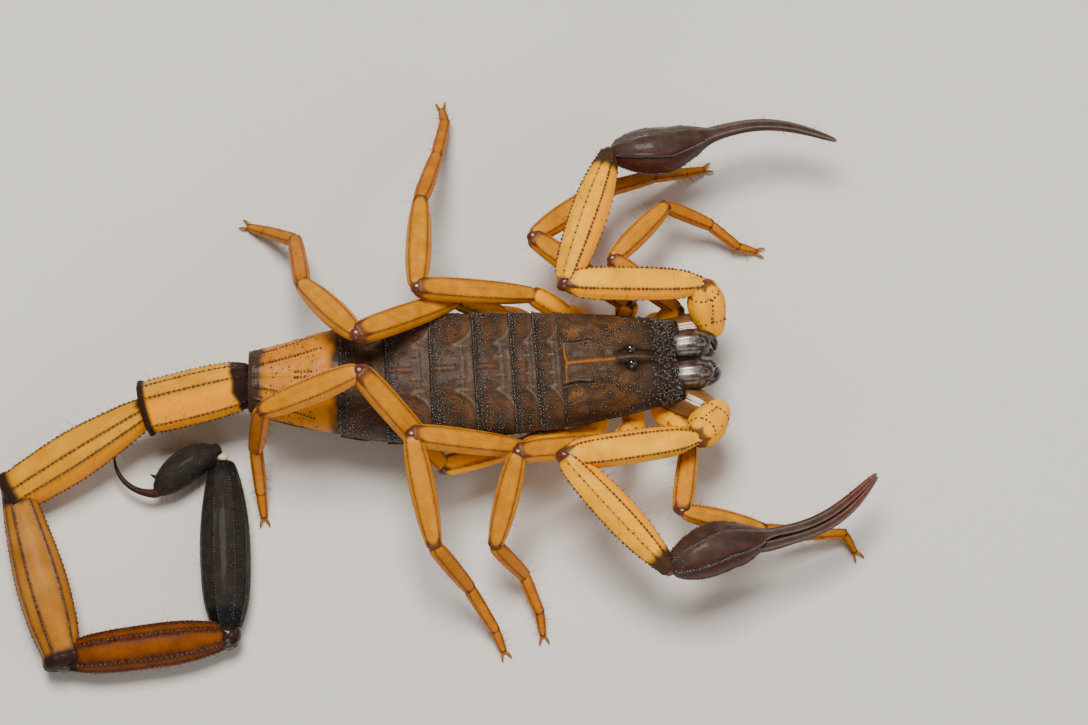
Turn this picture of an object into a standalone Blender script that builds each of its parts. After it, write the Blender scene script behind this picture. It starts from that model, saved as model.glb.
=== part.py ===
"""Two-coloured bark scorpion, life size, lying at rest with its tail curled beside it.

Each hard plate of the body is one closed solid: carapace, eyes, chelicerae, seven trunk rings,
five tail rings, sting, and the podomeres of two pedipalps and eight legs. Lengths are in
millimetres, and the finished meshes are scaled to metres. +X is the head's side, +Y its left.
"""

import math

import bmesh
import bpy
from mathutils import Matrix, Vector

MM = 0.001
UP = Vector((0, 0, 1))
FLOOR = (Vector((0, 0, 0)), -UP)  # cut that leaves a flat at floor level
GAP = 0.08  # clear space between two neighbouring plates
CENTRE = Vector((6.5, 0.74, 0))  # brings the middle of the whole outline over the origin

# Trunk, from the middle of the carapace's rear margin: s runs back along the body.
TRUNK_START = Vector((0.96, -0.83, 0)) + CENTRE
CARAPACE_HEADING = 6
RING_LENGTHS = (1.46, 1.46, 2.3, 2.65, 2.7, 2.8, 5.5)
RING_HEADINGS = (4, 4, 4, 3, 2, 1, 0)
HALF_WIDTH = ((-7.1, 2.3), (-5.5, 2.65), (-3, 3.2), (0, 3.55), (4, 3.8), (10, 3.9), (13.5, 3.3), (18.9, 1.9))
TOP = ((-7.1, 5.1), (-6, 6.0), (-4.3, 6.6), (-2, 6.9), (0, 7.0), (3, 7.3), (7, 7.5), (11, 7.3), (18.9, 6.3))
EDGE = ((-7.1, 4.4), (-4, 4.8), (0, 5.2), (5, 5.4), (11, 5.3), (18.9, 4.7))
BELLY = ((0, 2.3), (5, 1.9), (11, 2.0), (15, 2.4), (18.9, 3.0))
CARAPACE_UNDERSIDE = 4.05
CARAPACE_RINGS = ((-7.1, 0.86), (-6.6, 0.97), (-5.6, 1), (-4.7, 1), (-4.3, 1), (-3.9, 1), (-2.6, 1),
                  (-1.2, 1), (-0.2, 0.98))  # place and scale of each cross-section
SOFT_BELLY_RINGS = 2  # the foremost trunk rings, whose undersides narrow between the hind coxae

# Chelicerae: forward place, height, half width, half depth; CHELICERA_SPREAD is off the middle line.
CHELICERA = ((7.2, 4.9, 0, 0), (7.25, 4.9, 0.55, 0.62), (7.6, 4.9, 0.68, 0.8), (8.4, 4.85, 0.7, 0.82),
             (8.9, 4.7, 0.6, 0.66), (9.4, 4.45, 0.38, 0.42), (9.8, 4.15, 0.26, 0.27), (9.85, 4.1, 0, 0))
CHELICERA_SPREAD = 0.84

# Median eyes on their tubercle, forward of the carapace's rear margin.
EYE_RADIUS = 0.3
EYE_FORWARD, EYE_SPREAD, EYE_HEIGHT = 4.3, 0.46, 6.92
TUBERCLE_HEIGHT, TUBERCLE_REACH = 0.4, 0.8

# Tail: length, half width, half depth, heading, slope, roll of its back away from straight up.
TAIL = (
    (6.05, 1.7, 1.65, -168, -8, -29),
    (9.89, 1.65, 1.6, -149.8, -11.0, -71),
    (10.65, 1.75, 1.72, -73.1, -2.1, -103),
    (9.9, 1.6, 1.65, 8.0, -1, -81),
    (10.7, 1.62, 1.6, 92.4, 0, -90),
)
TAIL_START_HEIGHT = 4.75
TAIL_OUTLINE = ((-0.02, 0), (0.0, 0.72), (0.08, 0.86), (0.3, 0.93), (0.6, 0.97), (0.88, 1.03), (0.96, 1.0),
                (1.05, 0.86), (1.09, 0))  # part of the length, part of the full width
STING_HEADING, VESICLE_LENGTH, VESICLE_RADIUS = -153, 4.7, 1.22
VESICLE_OUTLINE = (0.3, 0.87, 1.0, 0.76, 0.3)  # parts of the radius at even steps along the bulb
ACULEUS_LENGTH, ACULEUS_TURN, ACULEUS_STEPS = 3.7, -132, 7
ACULEUS_BASE, ACULEUS_TIP = 0.34, 0.25

# Pedipalps, in mm: trochanter, femur, patella, and the hand with its closed fingers.
PALP_LENGTHS = (2.8, 8.5, 9.2)
CHELA_LENGTH, CHELA_BOW = 14.2, 1.3
PALP_BASES = {"left": (9.5, 2.1, 4.4), "right": (9.2, -3.45, 4.5)}
PALP_HEADINGS = {"left": (106, -177.6, 72.2), "right": (-122, -168, -45.5)}
PALP_SLOPES = {"left": (41, 11, -9), "right": (35, 15, -13.6)}
CHELA_POSE = {"left": (6, -8, -62), "right": (26, -7, -14)}  # heading, slope, roll of the grip
PALP_ROOT = (7.45, 2.05)
TROCHANTER_SIZES = ((0, 0), (0.5, 0.5), (0.62, 0.68), (0.9, 0.85), (1.2, 1.1), (0.95, 0.9), (0, 0))
PALP_FEMUR = ((-0.06, 0, 0), (-0.04, 0.5, 0.45), (0.06, 0.75, 0.7), (0.3, 0.97, 0.88), (0.7, 1.0, 0.9),
              (0.94, 0.85, 0.8), (1.03, 0.6, 0.55), (1.07, 0, 0))
PALP_PATELLA = ((-0.06, 0, 0), (-0.04, 0.5, 0.5), (0.1, 0.88, 0.86), (0.4, 1.1, 1.04), (0.7, 1.08, 1.02),
                (0.9, 0.86, 0.86), (1.0, 0.58, 0.58), (1.03, 0, 0))
# Hand and fingers: part of the length, offset in the grip's plane, half width, half thickness.
PALM = ((-0.01, 0, 0.3, 0.35), (0.03, 0, 0.8, 0.75), (0.1, 0, 1.25, 1.15), (0.2, 0, 1.48, 1.35),
        (0.3, 0, 1.4, 1.25), (0.36, -0.1, 1.1, 1.0))
FINGER_PLACES = (0.55, 0.67, 0.79, 0.9)
FIXED_FINGER_OFFSET, MOVABLE_FINGER_OFFSET = -0.33, 0.34
FINGER_ROOT, FINGER_KNUCKLE = (0.4, 0.72, 0.2, 0.4), (0.43, 0.5, 0.3, 0.42)
FINGER_HALF_WIDTH, FINGER_HALF_DEPTH, FINGER_THINNING = 0.28, 0.36, 0.25
FIXED_TIP, MOVABLE_TIP = (1.0, -0.25, 0.22, 0.24), (1.0, 0.27, 0.22, 0.24)

# Legs: lengths of femur, patella, tibia, basitarsus and telotarsus for each pair.
LEG_LENGTHS = {1: (5.2, 5.5, 3.4, 2.35, 1.4), 2: (7.2, 5.9, 4.0, 2.5, 1.5),
               3: (8.1, 6.8, 4.7, 3.5, 1.5), 4: (8.8, 7.0, 5.2, 3.0, 1.6)}
LEG_GIRTH = {1: 0.88, 2: 0.95, 3: 1.0, 4: 1.06}
LEG_OUTLINE = ((-0.05, 0, 0), (-0.03, 0.35, 0.32), (0.08, 0.58, 0.5), (0.3, 0.74, 0.6), (0.75, 0.78, 0.62),
               (0.93, 0.68, 0.56), (1.02, 0.42, 0.4), (1.05, 0, 0))
COXA_SIZES = ((0, 0), (0.28, 0.5), (0.6, 0.68), (0.7, 0.66), (0.6, 0.6), (0.66, 0.62), (0.5, 0.45), (0, 0))
FOOT_SIZES = ((2, 0.52, 0.46), (3, 0.4, 0.36), (4, 0.3, 0.3))  # podomere, half width, half depth
FOOT_TIP = (0.28, 0.3)
FOOT_CENTRE = 0.19
COXA_HEIGHT = 3.1
COXAE = {1: ((5.4, 0.7), (6.1, 2.8)), 2: ((4.1, 0.7), (4.2, 3.2)),
         3: ((3.0, 0.9), (1.6, 3.5)), 4: ((1.9, 0.5), (-1.9, 3.85))}
LEGS = {  # hip joint, headings of the five podomeres, slopes of the first four
    "left_1": ((8.2, 3.3, 4.0), (146, 50, -13, -31, -8), (21, -20, -34, -31)),
    "left_2": ((5.1, 3.6, 4.1), (147, 41, 24, 18, 19), (17, -22, -26, -33)),
    "left_3": ((-0.6, 4.1, 4.6), (-175, 89, 76, 81, 101), (29, -22, -37, -35)),
    "left_4": ((-5.3, 3.6, 5.5), (-148, 129, 100, 149, 154), (38, -38, -42, -42)),
    "right_1": ((8.9, -4.7, 4.0), (-97, -8, 3, 7, -58), (17, -23, -33, -21)),
    "right_2": ((4.7, -5.1, 4.4), (-167, -105, -31, -66, -81), (27, -25, -60, -21)),
    "right_3": ((-1.1, -5.6, 4.8), (-178, -78, -40, -54, -66), (33, -18, -56, -41)),
    "right_4": ((-6.1, -6.8, 5.2), (138, -165, -120, -84, -83), (42, -28, -76, -39)),
}


def heading(degrees, slope=0):
    """Unit direction: heading is measured from +X towards +Y, slope upwards."""
    turn, rise = math.radians(degrees), math.radians(slope)
    return Vector((math.cos(turn) * math.cos(rise), math.sin(turn) * math.cos(rise), math.sin(rise)))


def ramp(table, s):
    """Straight-line reading of a table of (place, value) pairs."""
    if s <= table[0][0]:
        return table[0][1]
    for (s0, v0), (s1, v1) in zip(table, table[1:]):
        if s <= s1:
            return v0 + (v1 - v0) * (s - s0) / (s1 - s0)
    return table[-1][1]


def paint(name, color, roughness):
    material = bpy.data.materials.new(name)
    material.use_nodes = True
    shader = material.node_tree.nodes["Principled BSDF"]
    shader.inputs["Base Color"].default_value = (*color, 1)
    shader.inputs["Roughness"].default_value = roughness
    shader.inputs["Metallic"].default_value = 0
    material.diffuse_color = (*color, 1)
    return material


def squircle(angle, power):
    """Point at this angle on a unit circle that is squarer for a higher power."""
    c, s = math.cos(angle), math.sin(angle)
    return (math.copysign(abs(c) ** (2 / power), c), math.copysign(abs(s) ** (2 / power), s))


def plate(name, rings, sides, material, power=2.5, low_power=None, cuts=(), shape=None):
    """Closed solid through rings of (centre, side, top, low); the first and last are its poles.

    Each cut is (point, normal) and takes off what lies on the normal's side.
    """
    bm = bmesh.new()
    last = len(rings) - 1
    bmesh.ops.create_uvsphere(bm, u_segments=sides, v_segments=last, radius=1)
    for vert in bm.verts:
        row = round(math.acos(max(-1, min(1, vert.co.z))) / math.pi * last)
        centre, side, top, low = rings[row]
        angle = math.atan2(vert.co.y, vert.co.x)
        across, rise = squircle(angle, power if vert.co.y >= 0 else low_power or power)
        if row in (0, last):
            vert.co = centre
        else:
            vert.co = centre + side * across + (top if rise > 0 else low) * abs(rise)
            if shape:
                vert.co = shape(vert.co)
    for point, normal in cuts:
        everything = bm.verts[:] + bm.edges[:] + bm.faces[:]
        bmesh.ops.bisect_plane(bm, geom=everything, dist=1e-5, plane_co=point, plane_no=normal,
                               clear_outer=True)
        bmesh.ops.holes_fill(bm, edges=[edge for edge in bm.edges if edge.is_boundary])
    bmesh.ops.triangulate(bm, faces=bm.faces)
    bmesh.ops.recalc_face_normals(bm, faces=bm.faces)
    bmesh.ops.transform(bm, matrix=Matrix.Scale(MM, 4), verts=bm.verts)
    mesh = bpy.data.meshes.new(name)
    bm.to_mesh(mesh)
    bm.free()
    mesh.shade_smooth()
    mesh.set_sharp_from_angle(angle=math.radians(50))
    mesh.materials.append(material)
    solid = bpy.data.objects.new(name, mesh)
    bpy.context.scene.collection.objects.link(solid)
    return solid


def joint_cuts(before, at, here, after):
    """The two planes that part a joint between directions, GAP wide; either may be missing."""
    cuts = []
    if before is not None:
        middle = (before + here).normalized()
        cuts.append((at[0] + middle * GAP / 2, -middle))
    if after is not None:
        middle = (here + after).normalized()
        cuts.append((at[1] - middle * GAP / 2, middle))
    return cuts


def tube_rings(path, sizes, roll=0):
    """Rings along a path of points; sizes holds (half width, half depth) for each point.

    The ring's top leans over by roll, to the right of the direction of travel.
    """
    rings = []
    for i, point in enumerate(path):
        along = (path[min(i + 1, len(path) - 1)] - path[max(i - 1, 0)]).normalized()
        side = along.cross(UP).normalized()
        top = side.cross(along)
        lean = Matrix.Rotation(math.radians(roll), 3, along)
        side, top = lean @ side, lean @ top
        width, depth = sizes[i]
        rings.append((point, side * width, top * depth, top * -depth))
    return rings


def podomere(name, start, end, outline, material, sides=8, power=2.4, cuts=(), roll=0):
    """One limb segment: outline holds (part of the length, half width, half depth)."""
    path = [start.lerp(end, place) for place, _, _ in outline]
    return plate(name, tube_rings(path, [size[1:] for size in outline], roll), sides, material, power,
                 cuts=cuts)


def chain(start, lengths, headings, slopes):
    points = [start]
    for length, turn, rise in zip(lengths, headings, slopes):
        points.append(points[-1] + heading(turn, rise) * length)
    return points


def trunk_point(s):
    """Middle of the body at floor level, s behind the carapace's rear margin, and the way ahead."""
    ahead = heading(CARAPACE_HEADING)
    if s <= 0:
        return TRUNK_START - ahead * s, ahead
    point, left = TRUNK_START.copy(), s
    for length, turn in zip(RING_LENGTHS, RING_HEADINGS):
        ahead = heading(turn)
        step = min(left, length)
        point -= ahead * step
        left -= step
        if left <= 0:
            break
    return point - ahead * max(left, 0), ahead


def trunk_ring(s, scale=1.0, underside=None):
    """Cross-section of the trunk at s, as a ring whose widest place is at the flank's height."""
    point, ahead = trunk_point(s)
    side = ahead.cross(UP)
    edge = ramp(EDGE, s)
    low = ramp(BELLY, s) if underside is None else underside
    return (point + UP * edge, side * ramp(HALF_WIDTH, s) * scale,
            UP * (ramp(TOP, s) - edge) * scale, UP * (low - edge) * scale)


def body_place(forward, left, height):
    """Point given from the carapace's rear margin, along and across the carapace."""
    ahead = heading(CARAPACE_HEADING)
    return TRUNK_START + ahead * forward + UP.cross(ahead) * left + UP * height


def close_ends(rings):
    """Adds the two poles, in the plane of the end rings."""
    zero = Vector((0, 0, 0))
    return [(rings[0][0], zero, zero, zero), *rings, (rings[-1][0], zero, zero, zero)]


def make_carapace(material):
    """Shield over the head, with the tubercle that carries the median eyes."""
    rings = [trunk_ring(s, scale, CARAPACE_UNDERSIDE) for s, scale in CARAPACE_RINGS]

    def raise_tubercle(point):
        reach = (point - body_place(EYE_FORWARD, 0, point.z)).length / TUBERCLE_REACH
        if point.z > EYE_HEIGHT - 1:
            point.z += TUBERCLE_HEIGHT * math.exp(-reach * reach)
        return point

    return plate("carapace", close_ends(rings), 20, material, 2.3, 4, shape=raise_tubercle)


def make_eyes(carapace, material):
    """Two glassy beads in sockets that are cut into the tubercle's sides."""
    for name, side in (("left", 1), ("right", -1)):
        place = body_place(EYE_FORWARD, side * EYE_SPREAD, EYE_HEIGHT) * MM
        for role, radius in (("eye", EYE_RADIUS), ("socket", EYE_RADIUS + GAP / 2)):
            bm = bmesh.new()
            bmesh.ops.create_uvsphere(bm, u_segments=10, v_segments=7, radius=radius * MM,
                                      matrix=Matrix.Translation(place))
            mesh = bpy.data.meshes.new(f"{role}_{name}")
            bm.to_mesh(mesh)
            bm.free()
            mesh.shade_smooth()
            mesh.materials.append(material)
            bead = bpy.data.objects.new(f"{role}_{name}", mesh)
            bpy.context.scene.collection.objects.link(bead)
            if role == "socket":
                bead.hide_render = True
                bead.display_type = "WIRE"
                cut = carapace.modifiers.new(f"socket_{name}", "BOOLEAN")
                cut.operation = "DIFFERENCE"
                cut.object = bead


def make_chelicerae(material):
    for name, side in (("left", 1), ("right", -1)):
        path = [body_place(forward, side * CHELICERA_SPREAD, height) for forward, height, _, _ in CHELICERA]
        plate(f"chelicera_{name}", tube_rings(path, [part[2:] for part in CHELICERA]), 10, material, 2.6)


def make_trunk_rings(dark, pale):
    """Seven rings behind the carapace, the last of them in the tail's colour."""
    start = 0
    for number, length in enumerate(RING_LENGTHS, 1):
        stations = ((GAP / 2, 0.95), (0.3 * length, 0.99), (0.8 * length, 1.0), (length - GAP / 2, 1.0))
        rings = [trunk_ring(start + offset, scale) for offset, scale in stations]
        low_power = 1.1 if number <= SOFT_BELLY_RINGS else 2.6
        plate(f"mesosoma_{number}", close_ends(rings), 16, pale if number == 7 else dark, 2.3, low_power)
        start += length


def tail_points():
    start = trunk_point(sum(RING_LENGTHS))[0] + UP * TAIL_START_HEIGHT
    return chain(start, *zip(*[(length, turn, rise) for length, _, _, turn, rise, _ in TAIL]))


def make_tail(materials):
    """Five keeled rings, mitred against each other and cut flat where they lie on the floor."""
    points = tail_points()
    directions = [heading(turn, rise) for _, _, _, turn, rise, _ in TAIL] + [heading(STING_HEADING)]
    for i, (_, width, depth, _, _, roll) in enumerate(TAIL):
        outline = [(place, width * part, depth * part) for place, part in TAIL_OUTLINE]
        before = directions[i - 1] if i else None
        cuts = joint_cuts(before, points[i:i + 2], directions[i], directions[i + 1])
        if i == 0:
            ahead = heading(RING_HEADINGS[-1])
            cuts.append((points[0] - ahead * GAP / 2, ahead))
        podomere(f"metasoma_{i + 1}", points[i], points[i + 1], outline, materials[i], 12, 3,
                 cuts + [FLOOR], roll)


def sting_path():
    """Points along vesicle and aculeus, which bends away from the tail's curl."""
    path, turn = [tail_points()[-1] + heading(STING_HEADING) * GAP], STING_HEADING
    bulb_steps = len(VESICLE_OUTLINE) - 1
    for _ in range(bulb_steps):
        path.append(path[-1] + heading(turn) * VESICLE_LENGTH / bulb_steps)
    for _ in range(ACULEUS_STEPS):
        turn += ACULEUS_TURN / ACULEUS_STEPS
        path.append(path[-1] + heading(turn) * ACULEUS_LENGTH / ACULEUS_STEPS)
    return path


def make_telson(material):
    """Bulb and spine of the sting; the spine is kept thick enough to hold as a solid."""
    path = sting_path()
    radii = [VESICLE_RADIUS * part for part in VESICLE_OUTLINE]
    for i in range(1, ACULEUS_STEPS + 1):
        radii.append(ACULEUS_BASE + (ACULEUS_TIP - ACULEUS_BASE) * i / ACULEUS_STEPS)
    rings = tube_rings(path, [(radius, radius) for radius in radii])
    tail_end = heading(TAIL[-1][3], TAIL[-1][4])
    cuts = joint_cuts(tail_end, [tail_points()[-1], path[-1]], heading(STING_HEADING), None)
    plate("telson", close_ends(rings), 12, material, 2.2, cuts=cuts)


def leg_points(name):
    hip, turns, slopes = LEGS[name]
    lengths = LEG_LENGTHS[int(name[-1])]
    points = chain(Vector(hip) + CENTRE, lengths[:4], turns[:4], slopes)
    reach = math.sqrt(lengths[4] ** 2 - (points[-1].z - FOOT_CENTRE) ** 2)
    foot = points[-1] + heading(turns[4]) * reach
    foot.z = FOOT_CENTRE
    return points + [foot]


def make_leg(name, material):
    """Coxa, femur and patella as plates; tibia and tarsus are one, cut flat where it stands."""
    pair, side = int(name[-1]), 1 if name.startswith("left") else -1
    girth = LEG_GIRTH[pair]
    points = leg_points(name)
    ways = [(b - a).normalized() for a, b in zip(points, points[1:])]
    inner, outer = (body_place(x, side * y, COXA_HEIGHT) for x, y in COXAE[pair])
    hip_way = (points[0] - outer).normalized()

    path = [inner, inner.lerp(outer, 0.06), inner.lerp(outer, 0.6), outer, outer.lerp(points[0], 0.35),
            outer.lerp(points[0], 0.8), points[0] + hip_way * 0.15, points[0] + hip_way * 0.25]
    cuts = joint_cuts(None, [inner, points[0]], hip_way, ways[0])
    plate(f"leg_{name}_coxa", tube_rings(path, COXA_SIZES), 8, material, 2.4, cuts=cuts)

    outline = [(place, w * girth, d * girth) for place, w, d in LEG_OUTLINE]
    cuts = joint_cuts(hip_way, points[0:2], ways[0], ways[1])
    podomere(f"leg_{name}_femur", points[0], points[1], outline, material, cuts=cuts)
    cuts = joint_cuts(ways[0], points[1:3], ways[1], ways[2])
    podomere(f"leg_{name}_patella", points[1], points[2], outline, material, cuts=cuts)

    path, sizes = [points[2] - ways[2] * 0.1, points[2] - ways[2] * 0.08], [(0, 0), (0.35, 0.35)]
    for i, w, d in FOOT_SIZES:
        for place in (0.25, 0.8):
            path.append(points[i].lerp(points[i + 1], place))
            sizes.append((w * girth, d * girth))
    path += [points[5], points[5] + ways[4] * 0.12]
    sizes += [FOOT_TIP, (0, 0)]
    cuts = joint_cuts(ways[1], [points[2], points[5]], ways[2], None) + [FLOOR]
    plate(f"leg_{name}_foot", tube_rings(path, sizes), 8, material, 2.3, cuts=cuts)


def chela_point(start, forward, out, u, bow):
    """Point of the hand's middle line: straight through the palm, then bowed outwards."""
    swell = math.sin(math.pi * max(0, (u - 0.25) / 0.75) ** 1.15)
    return start + forward * CHELA_LENGTH * u + out * bow * swell


def make_pedipalp(name, materials):
    """Trochanter, femur, patella, hand with its fixed finger, and the movable finger."""
    side = 1 if name == "left" else -1
    pale, dark = materials
    start = body_place(*PALP_BASES[name])
    points = chain(start, PALP_LENGTHS, PALP_HEADINGS[name], PALP_SLOPES[name])
    ways = [(b - a).normalized() for a, b in zip(points, points[1:])]
    turn, rise, roll = CHELA_POSE[name]
    forward = heading(turn, rise)

    root = body_place(PALP_ROOT[0], side * PALP_ROOT[1], COXA_HEIGHT)
    path = [root, root.lerp(start, 0.05), root.lerp(start, 0.6), start + ways[0] * 0.2,
            points[0].lerp(points[1], 0.6), points[1], points[1] + ways[0] * 0.1]
    cuts = joint_cuts(None, points[0:2], ways[0], ways[1])
    plate(f"pedipalp_{name}_trochanter", tube_rings(path, TROCHANTER_SIZES), 10, pale, 2.4, cuts=cuts)

    cuts = joint_cuts(ways[0], points[1:3], ways[1], ways[2])
    podomere(f"pedipalp_{name}_femur", points[1], points[2], PALP_FEMUR, pale, 10, 3, cuts)
    cuts = joint_cuts(ways[1], points[2:4], ways[2], forward)
    podomere(f"pedipalp_{name}_patella", points[2], points[3], PALP_PATELLA, pale, 10, 3, cuts)

    out = UP.cross(forward).normalized() * side
    grip = Matrix.Rotation(math.radians(roll) * side, 3, forward)
    wide = grip @ out
    thick = forward.cross(wide) * side

    def lobe(stations):
        """Rings across the grip, bowed along the hand's middle line."""
        centres = [chela_point(points[3], forward, out, u, CHELA_BOW) + wide * offset
                   for u, offset, _, _ in stations]
        return [(centre, wide * w, thick * d, thick * -d) for centre, (_, _, w, d) in zip(centres, stations)]

    def finger(offset, tip):
        return [(u, offset, FINGER_HALF_WIDTH, FINGER_HALF_DEPTH * (1 - FINGER_THINNING * u))
                for u in FINGER_PLACES] + [tip]

    hand = [*PALM, (FINGER_KNUCKLE[0], FIXED_FINGER_OFFSET, *FINGER_KNUCKLE[2:])]
    hand += finger(FIXED_FINGER_OFFSET, FIXED_TIP)
    cuts = joint_cuts(ways[2], [points[3], points[3]], forward, None)
    plate(f"pedipalp_{name}_hand", close_ends(lobe(hand)), 12, dark, 2.3, cuts=cuts)
    moving = [FINGER_ROOT, FINGER_KNUCKLE, *finger(MOVABLE_FINGER_OFFSET, MOVABLE_TIP)]
    plate(f"pedipalp_{name}_movable_finger", close_ends(lobe(moving)), 8, dark)


def build():
    for old in list(bpy.data.objects):
        bpy.data.objects.remove(old, do_unlink=True)
    shell = paint("dark_shell", (0.045, 0.032, 0.022), 0.45)
    amber = paint("amber_cuticle", (0.6, 0.34, 0.09), 0.4)
    rust = paint("rust_cuticle", (0.38, 0.15, 0.04), 0.4)
    black = paint("black_cuticle", (0.02, 0.018, 0.016), 0.5)
    claw = paint("claw_cuticle", (0.05, 0.028, 0.022), 0.35)
    bead = paint("eye_black", (0.005, 0.005, 0.006), 0.08)
    make_eyes(make_carapace(shell), bead)
    make_chelicerae(claw)
    make_trunk_rings(shell, amber)
    make_tail((amber, amber, amber, rust, black))
    make_telson(black)
    for name in PALP_BASES:
        make_pedipalp(name, (amber, claw))
    for name in LEGS:
        make_leg(name, amber)


build()
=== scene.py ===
"""Two-coloured bark scorpion at rest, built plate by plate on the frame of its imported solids.

Every hard plate is a piece of its own, with soft skin between the plates. Lengths are millimetres until
a piece is finished, and metres from then on. +X is the head's side, +Y the animal's left, +Z up.
"""

import functools
import math
import random

import bmesh
import bpy
from mathutils import Matrix, Vector, noise


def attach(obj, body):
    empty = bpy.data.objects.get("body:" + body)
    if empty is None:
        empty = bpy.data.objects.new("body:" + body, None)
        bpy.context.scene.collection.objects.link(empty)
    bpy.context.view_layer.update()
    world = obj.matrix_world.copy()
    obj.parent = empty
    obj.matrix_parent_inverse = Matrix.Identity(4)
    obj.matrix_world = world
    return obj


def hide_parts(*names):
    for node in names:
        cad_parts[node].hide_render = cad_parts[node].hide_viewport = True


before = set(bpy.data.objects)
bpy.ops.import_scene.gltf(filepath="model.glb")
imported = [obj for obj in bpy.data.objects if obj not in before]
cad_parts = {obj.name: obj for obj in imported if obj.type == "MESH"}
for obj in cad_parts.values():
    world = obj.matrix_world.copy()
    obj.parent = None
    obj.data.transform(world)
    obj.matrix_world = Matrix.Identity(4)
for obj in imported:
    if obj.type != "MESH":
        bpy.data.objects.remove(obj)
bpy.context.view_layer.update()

# ---------------------------------------------------------------------------------- camera and studio
# A long lens looks steeply down from the animal's right side, over a plain pale floor.
# A soft light hangs overhead, a little to the left, with weak fills from the head's side and the right.
VIEW_TARGET = Vector((0.0065, 0.00074, 0.004))
VIEW_DISTANCE, VIEW_HEIGHT_ANGLE = 0.283, math.radians(75)
LENS, SENSOR = 153.6, 36
LIGHTS = (  # place, size, watts, colour
    ((-0.03, 0.11, 0.40), 0.16, 2.7, (1.0, 0.96, 0.9)),
    ((0.30, -0.10, 0.30), 0.25, 0.45, (1.0, 0.93, 0.85)),
    ((0.05, -0.45, 0.16), 0.30, 0.9, (1.0, 0.95, 0.88)),
)
SKY_TONE, SKY_STRENGTH = (0.95, 0.97, 1.0), 0.12
FLOOR_SIZE, FLOOR_TONE, FLOOR_ROUGHNESS = 3.0, (0.62, 0.6, 0.57), 0.9

camera = bpy.data.objects.new("camera", bpy.data.cameras.new("camera"))
sight = Vector((0, math.cos(VIEW_HEIGHT_ANGLE), -math.sin(VIEW_HEIGHT_ANGLE)))
camera.location = VIEW_TARGET - sight * VIEW_DISTANCE
camera.rotation_euler = sight.to_track_quat("-Z", "Y").to_euler()
camera.data.lens, camera.data.sensor_width, camera.data.clip_start = LENS, SENSOR, 0.01
bpy.context.scene.collection.objects.link(camera)
bpy.context.scene.camera = camera

for number, (place, size, watts, tone) in enumerate(LIGHTS, 1):
    lamp = bpy.data.lights.new(f"softbox_{number}", "AREA")
    lamp.size, lamp.energy, lamp.color = size, watts, tone
    softbox = bpy.data.objects.new(f"softbox_{number}", lamp)
    softbox.location = place
    softbox.rotation_euler = (VIEW_TARGET - Vector(place)).to_track_quat("-Z", "Y").to_euler()
    bpy.context.scene.collection.objects.link(softbox)
world = bpy.data.worlds.new("studio")
world.use_nodes = True
world.node_tree.nodes["Background"].inputs["Color"].default_value = (*SKY_TONE, 1)
world.node_tree.nodes["Background"].inputs["Strength"].default_value = SKY_STRENGTH
bpy.context.scene.world = world

bm = bmesh.new()
bmesh.ops.create_grid(bm, x_segments=2, y_segments=2, size=FLOOR_SIZE / 2)
floor_mesh = bpy.data.meshes.new("floor")
bm.to_mesh(floor_mesh)
bm.free()
paper = bpy.data.materials.new("floor_paper")
paper.use_nodes = True
paper.node_tree.nodes["Principled BSDF"].inputs["Base Color"].default_value = (*FLOOR_TONE, 1)
paper.node_tree.nodes["Principled BSDF"].inputs["Roughness"].default_value = FLOOR_ROUGHNESS
floor_mesh.materials.append(paper)
floor = bpy.data.objects.new("floor", floor_mesh)
bpy.context.scene.collection.objects.link(floor)

# ------------------------------------------------------------------------------------------- carapace
# The shield over the head: one plate of hard, dark, granular cuticle, a tenth of a millimetre thick.
# A sheet is bent over the body, with the furrow, keels and eye mound raised from it, and beads set on.
MM = 0.001
UP = Vector((0, 0, 1))
CENTRE = Vector((6.5, 0.74, 0))  # brings the middle of the whole outline over the origin
TRUNK_START = Vector((0.96, -0.83, 0)) + CENTRE
CARAPACE_HEADING = 6
RING_LENGTHS = (1.46, 1.46, 2.3, 2.65, 2.7, 2.8, 5.5)
RING_HEADINGS = (4, 4, 4, 3, 2, 1, 0)
LAST_RING = len(RING_LENGTHS)
# Tables along the trunk, as (distance behind the carapace's rear margin, value): turn of the body's
# frame, half width, and the heights of the crown, of the plates' edge and of the belly.
TRUNK_TURN = ((-2, 6), (1, 4.6), (4, 3.9), (6.5, 3.2), (9.5, 2.1), (12.5, 1), (16, 0))
HALF_WIDTH = ((-7.1, 2.45), (-5.5, 2.8), (-3, 3.2), (0, 3.55), (4, 3.8), (10, 3.9), (13.5, 3.3), (18.9, 1.9))
TOP = ((-7.1, 5.6), (-6, 6.2), (-4.3, 6.6), (-2, 6.9), (0, 7.0), (3, 7.3), (7, 7.5), (11, 7.3), (18.9, 6.3))
EDGE = ((-7.1, 4.8), (-4, 4.9), (0, 5.2), (5, 5.4), (11, 5.3), (18.9, 4.7))
BELLY = ((0, 2.3), (5, 1.9), (11, 2.0), (15, 2.4), (18.9, 3.0))
CARAPACE_LENGTH, CARAPACE_WALL = 7.45, 0.1
PLATE_LEAN, PLATE_SQUARENESS = math.radians(101), 2.3  # reach round the body from the crown, and outline
CREASE, CREASE_BOW, SIDE_KEEL = 0.30, 0.12, 1.24  # furrow near the rear margin, and the keel beside it
EYE_FORWARD, EYE_SPREAD, EYE_HEIGHT, EYE_RADIUS = 4.3, 0.47, 6.93, 0.34
WELD = 0.004
chance = random.Random(41)


def heading(degrees, slope=0):
    """Unit direction: heading from +X towards +Y, slope upwards."""
    turn, rise = math.radians(degrees), math.radians(slope)
    return Vector((math.cos(turn) * math.cos(rise), math.sin(turn) * math.cos(rise), math.sin(rise)))


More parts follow.
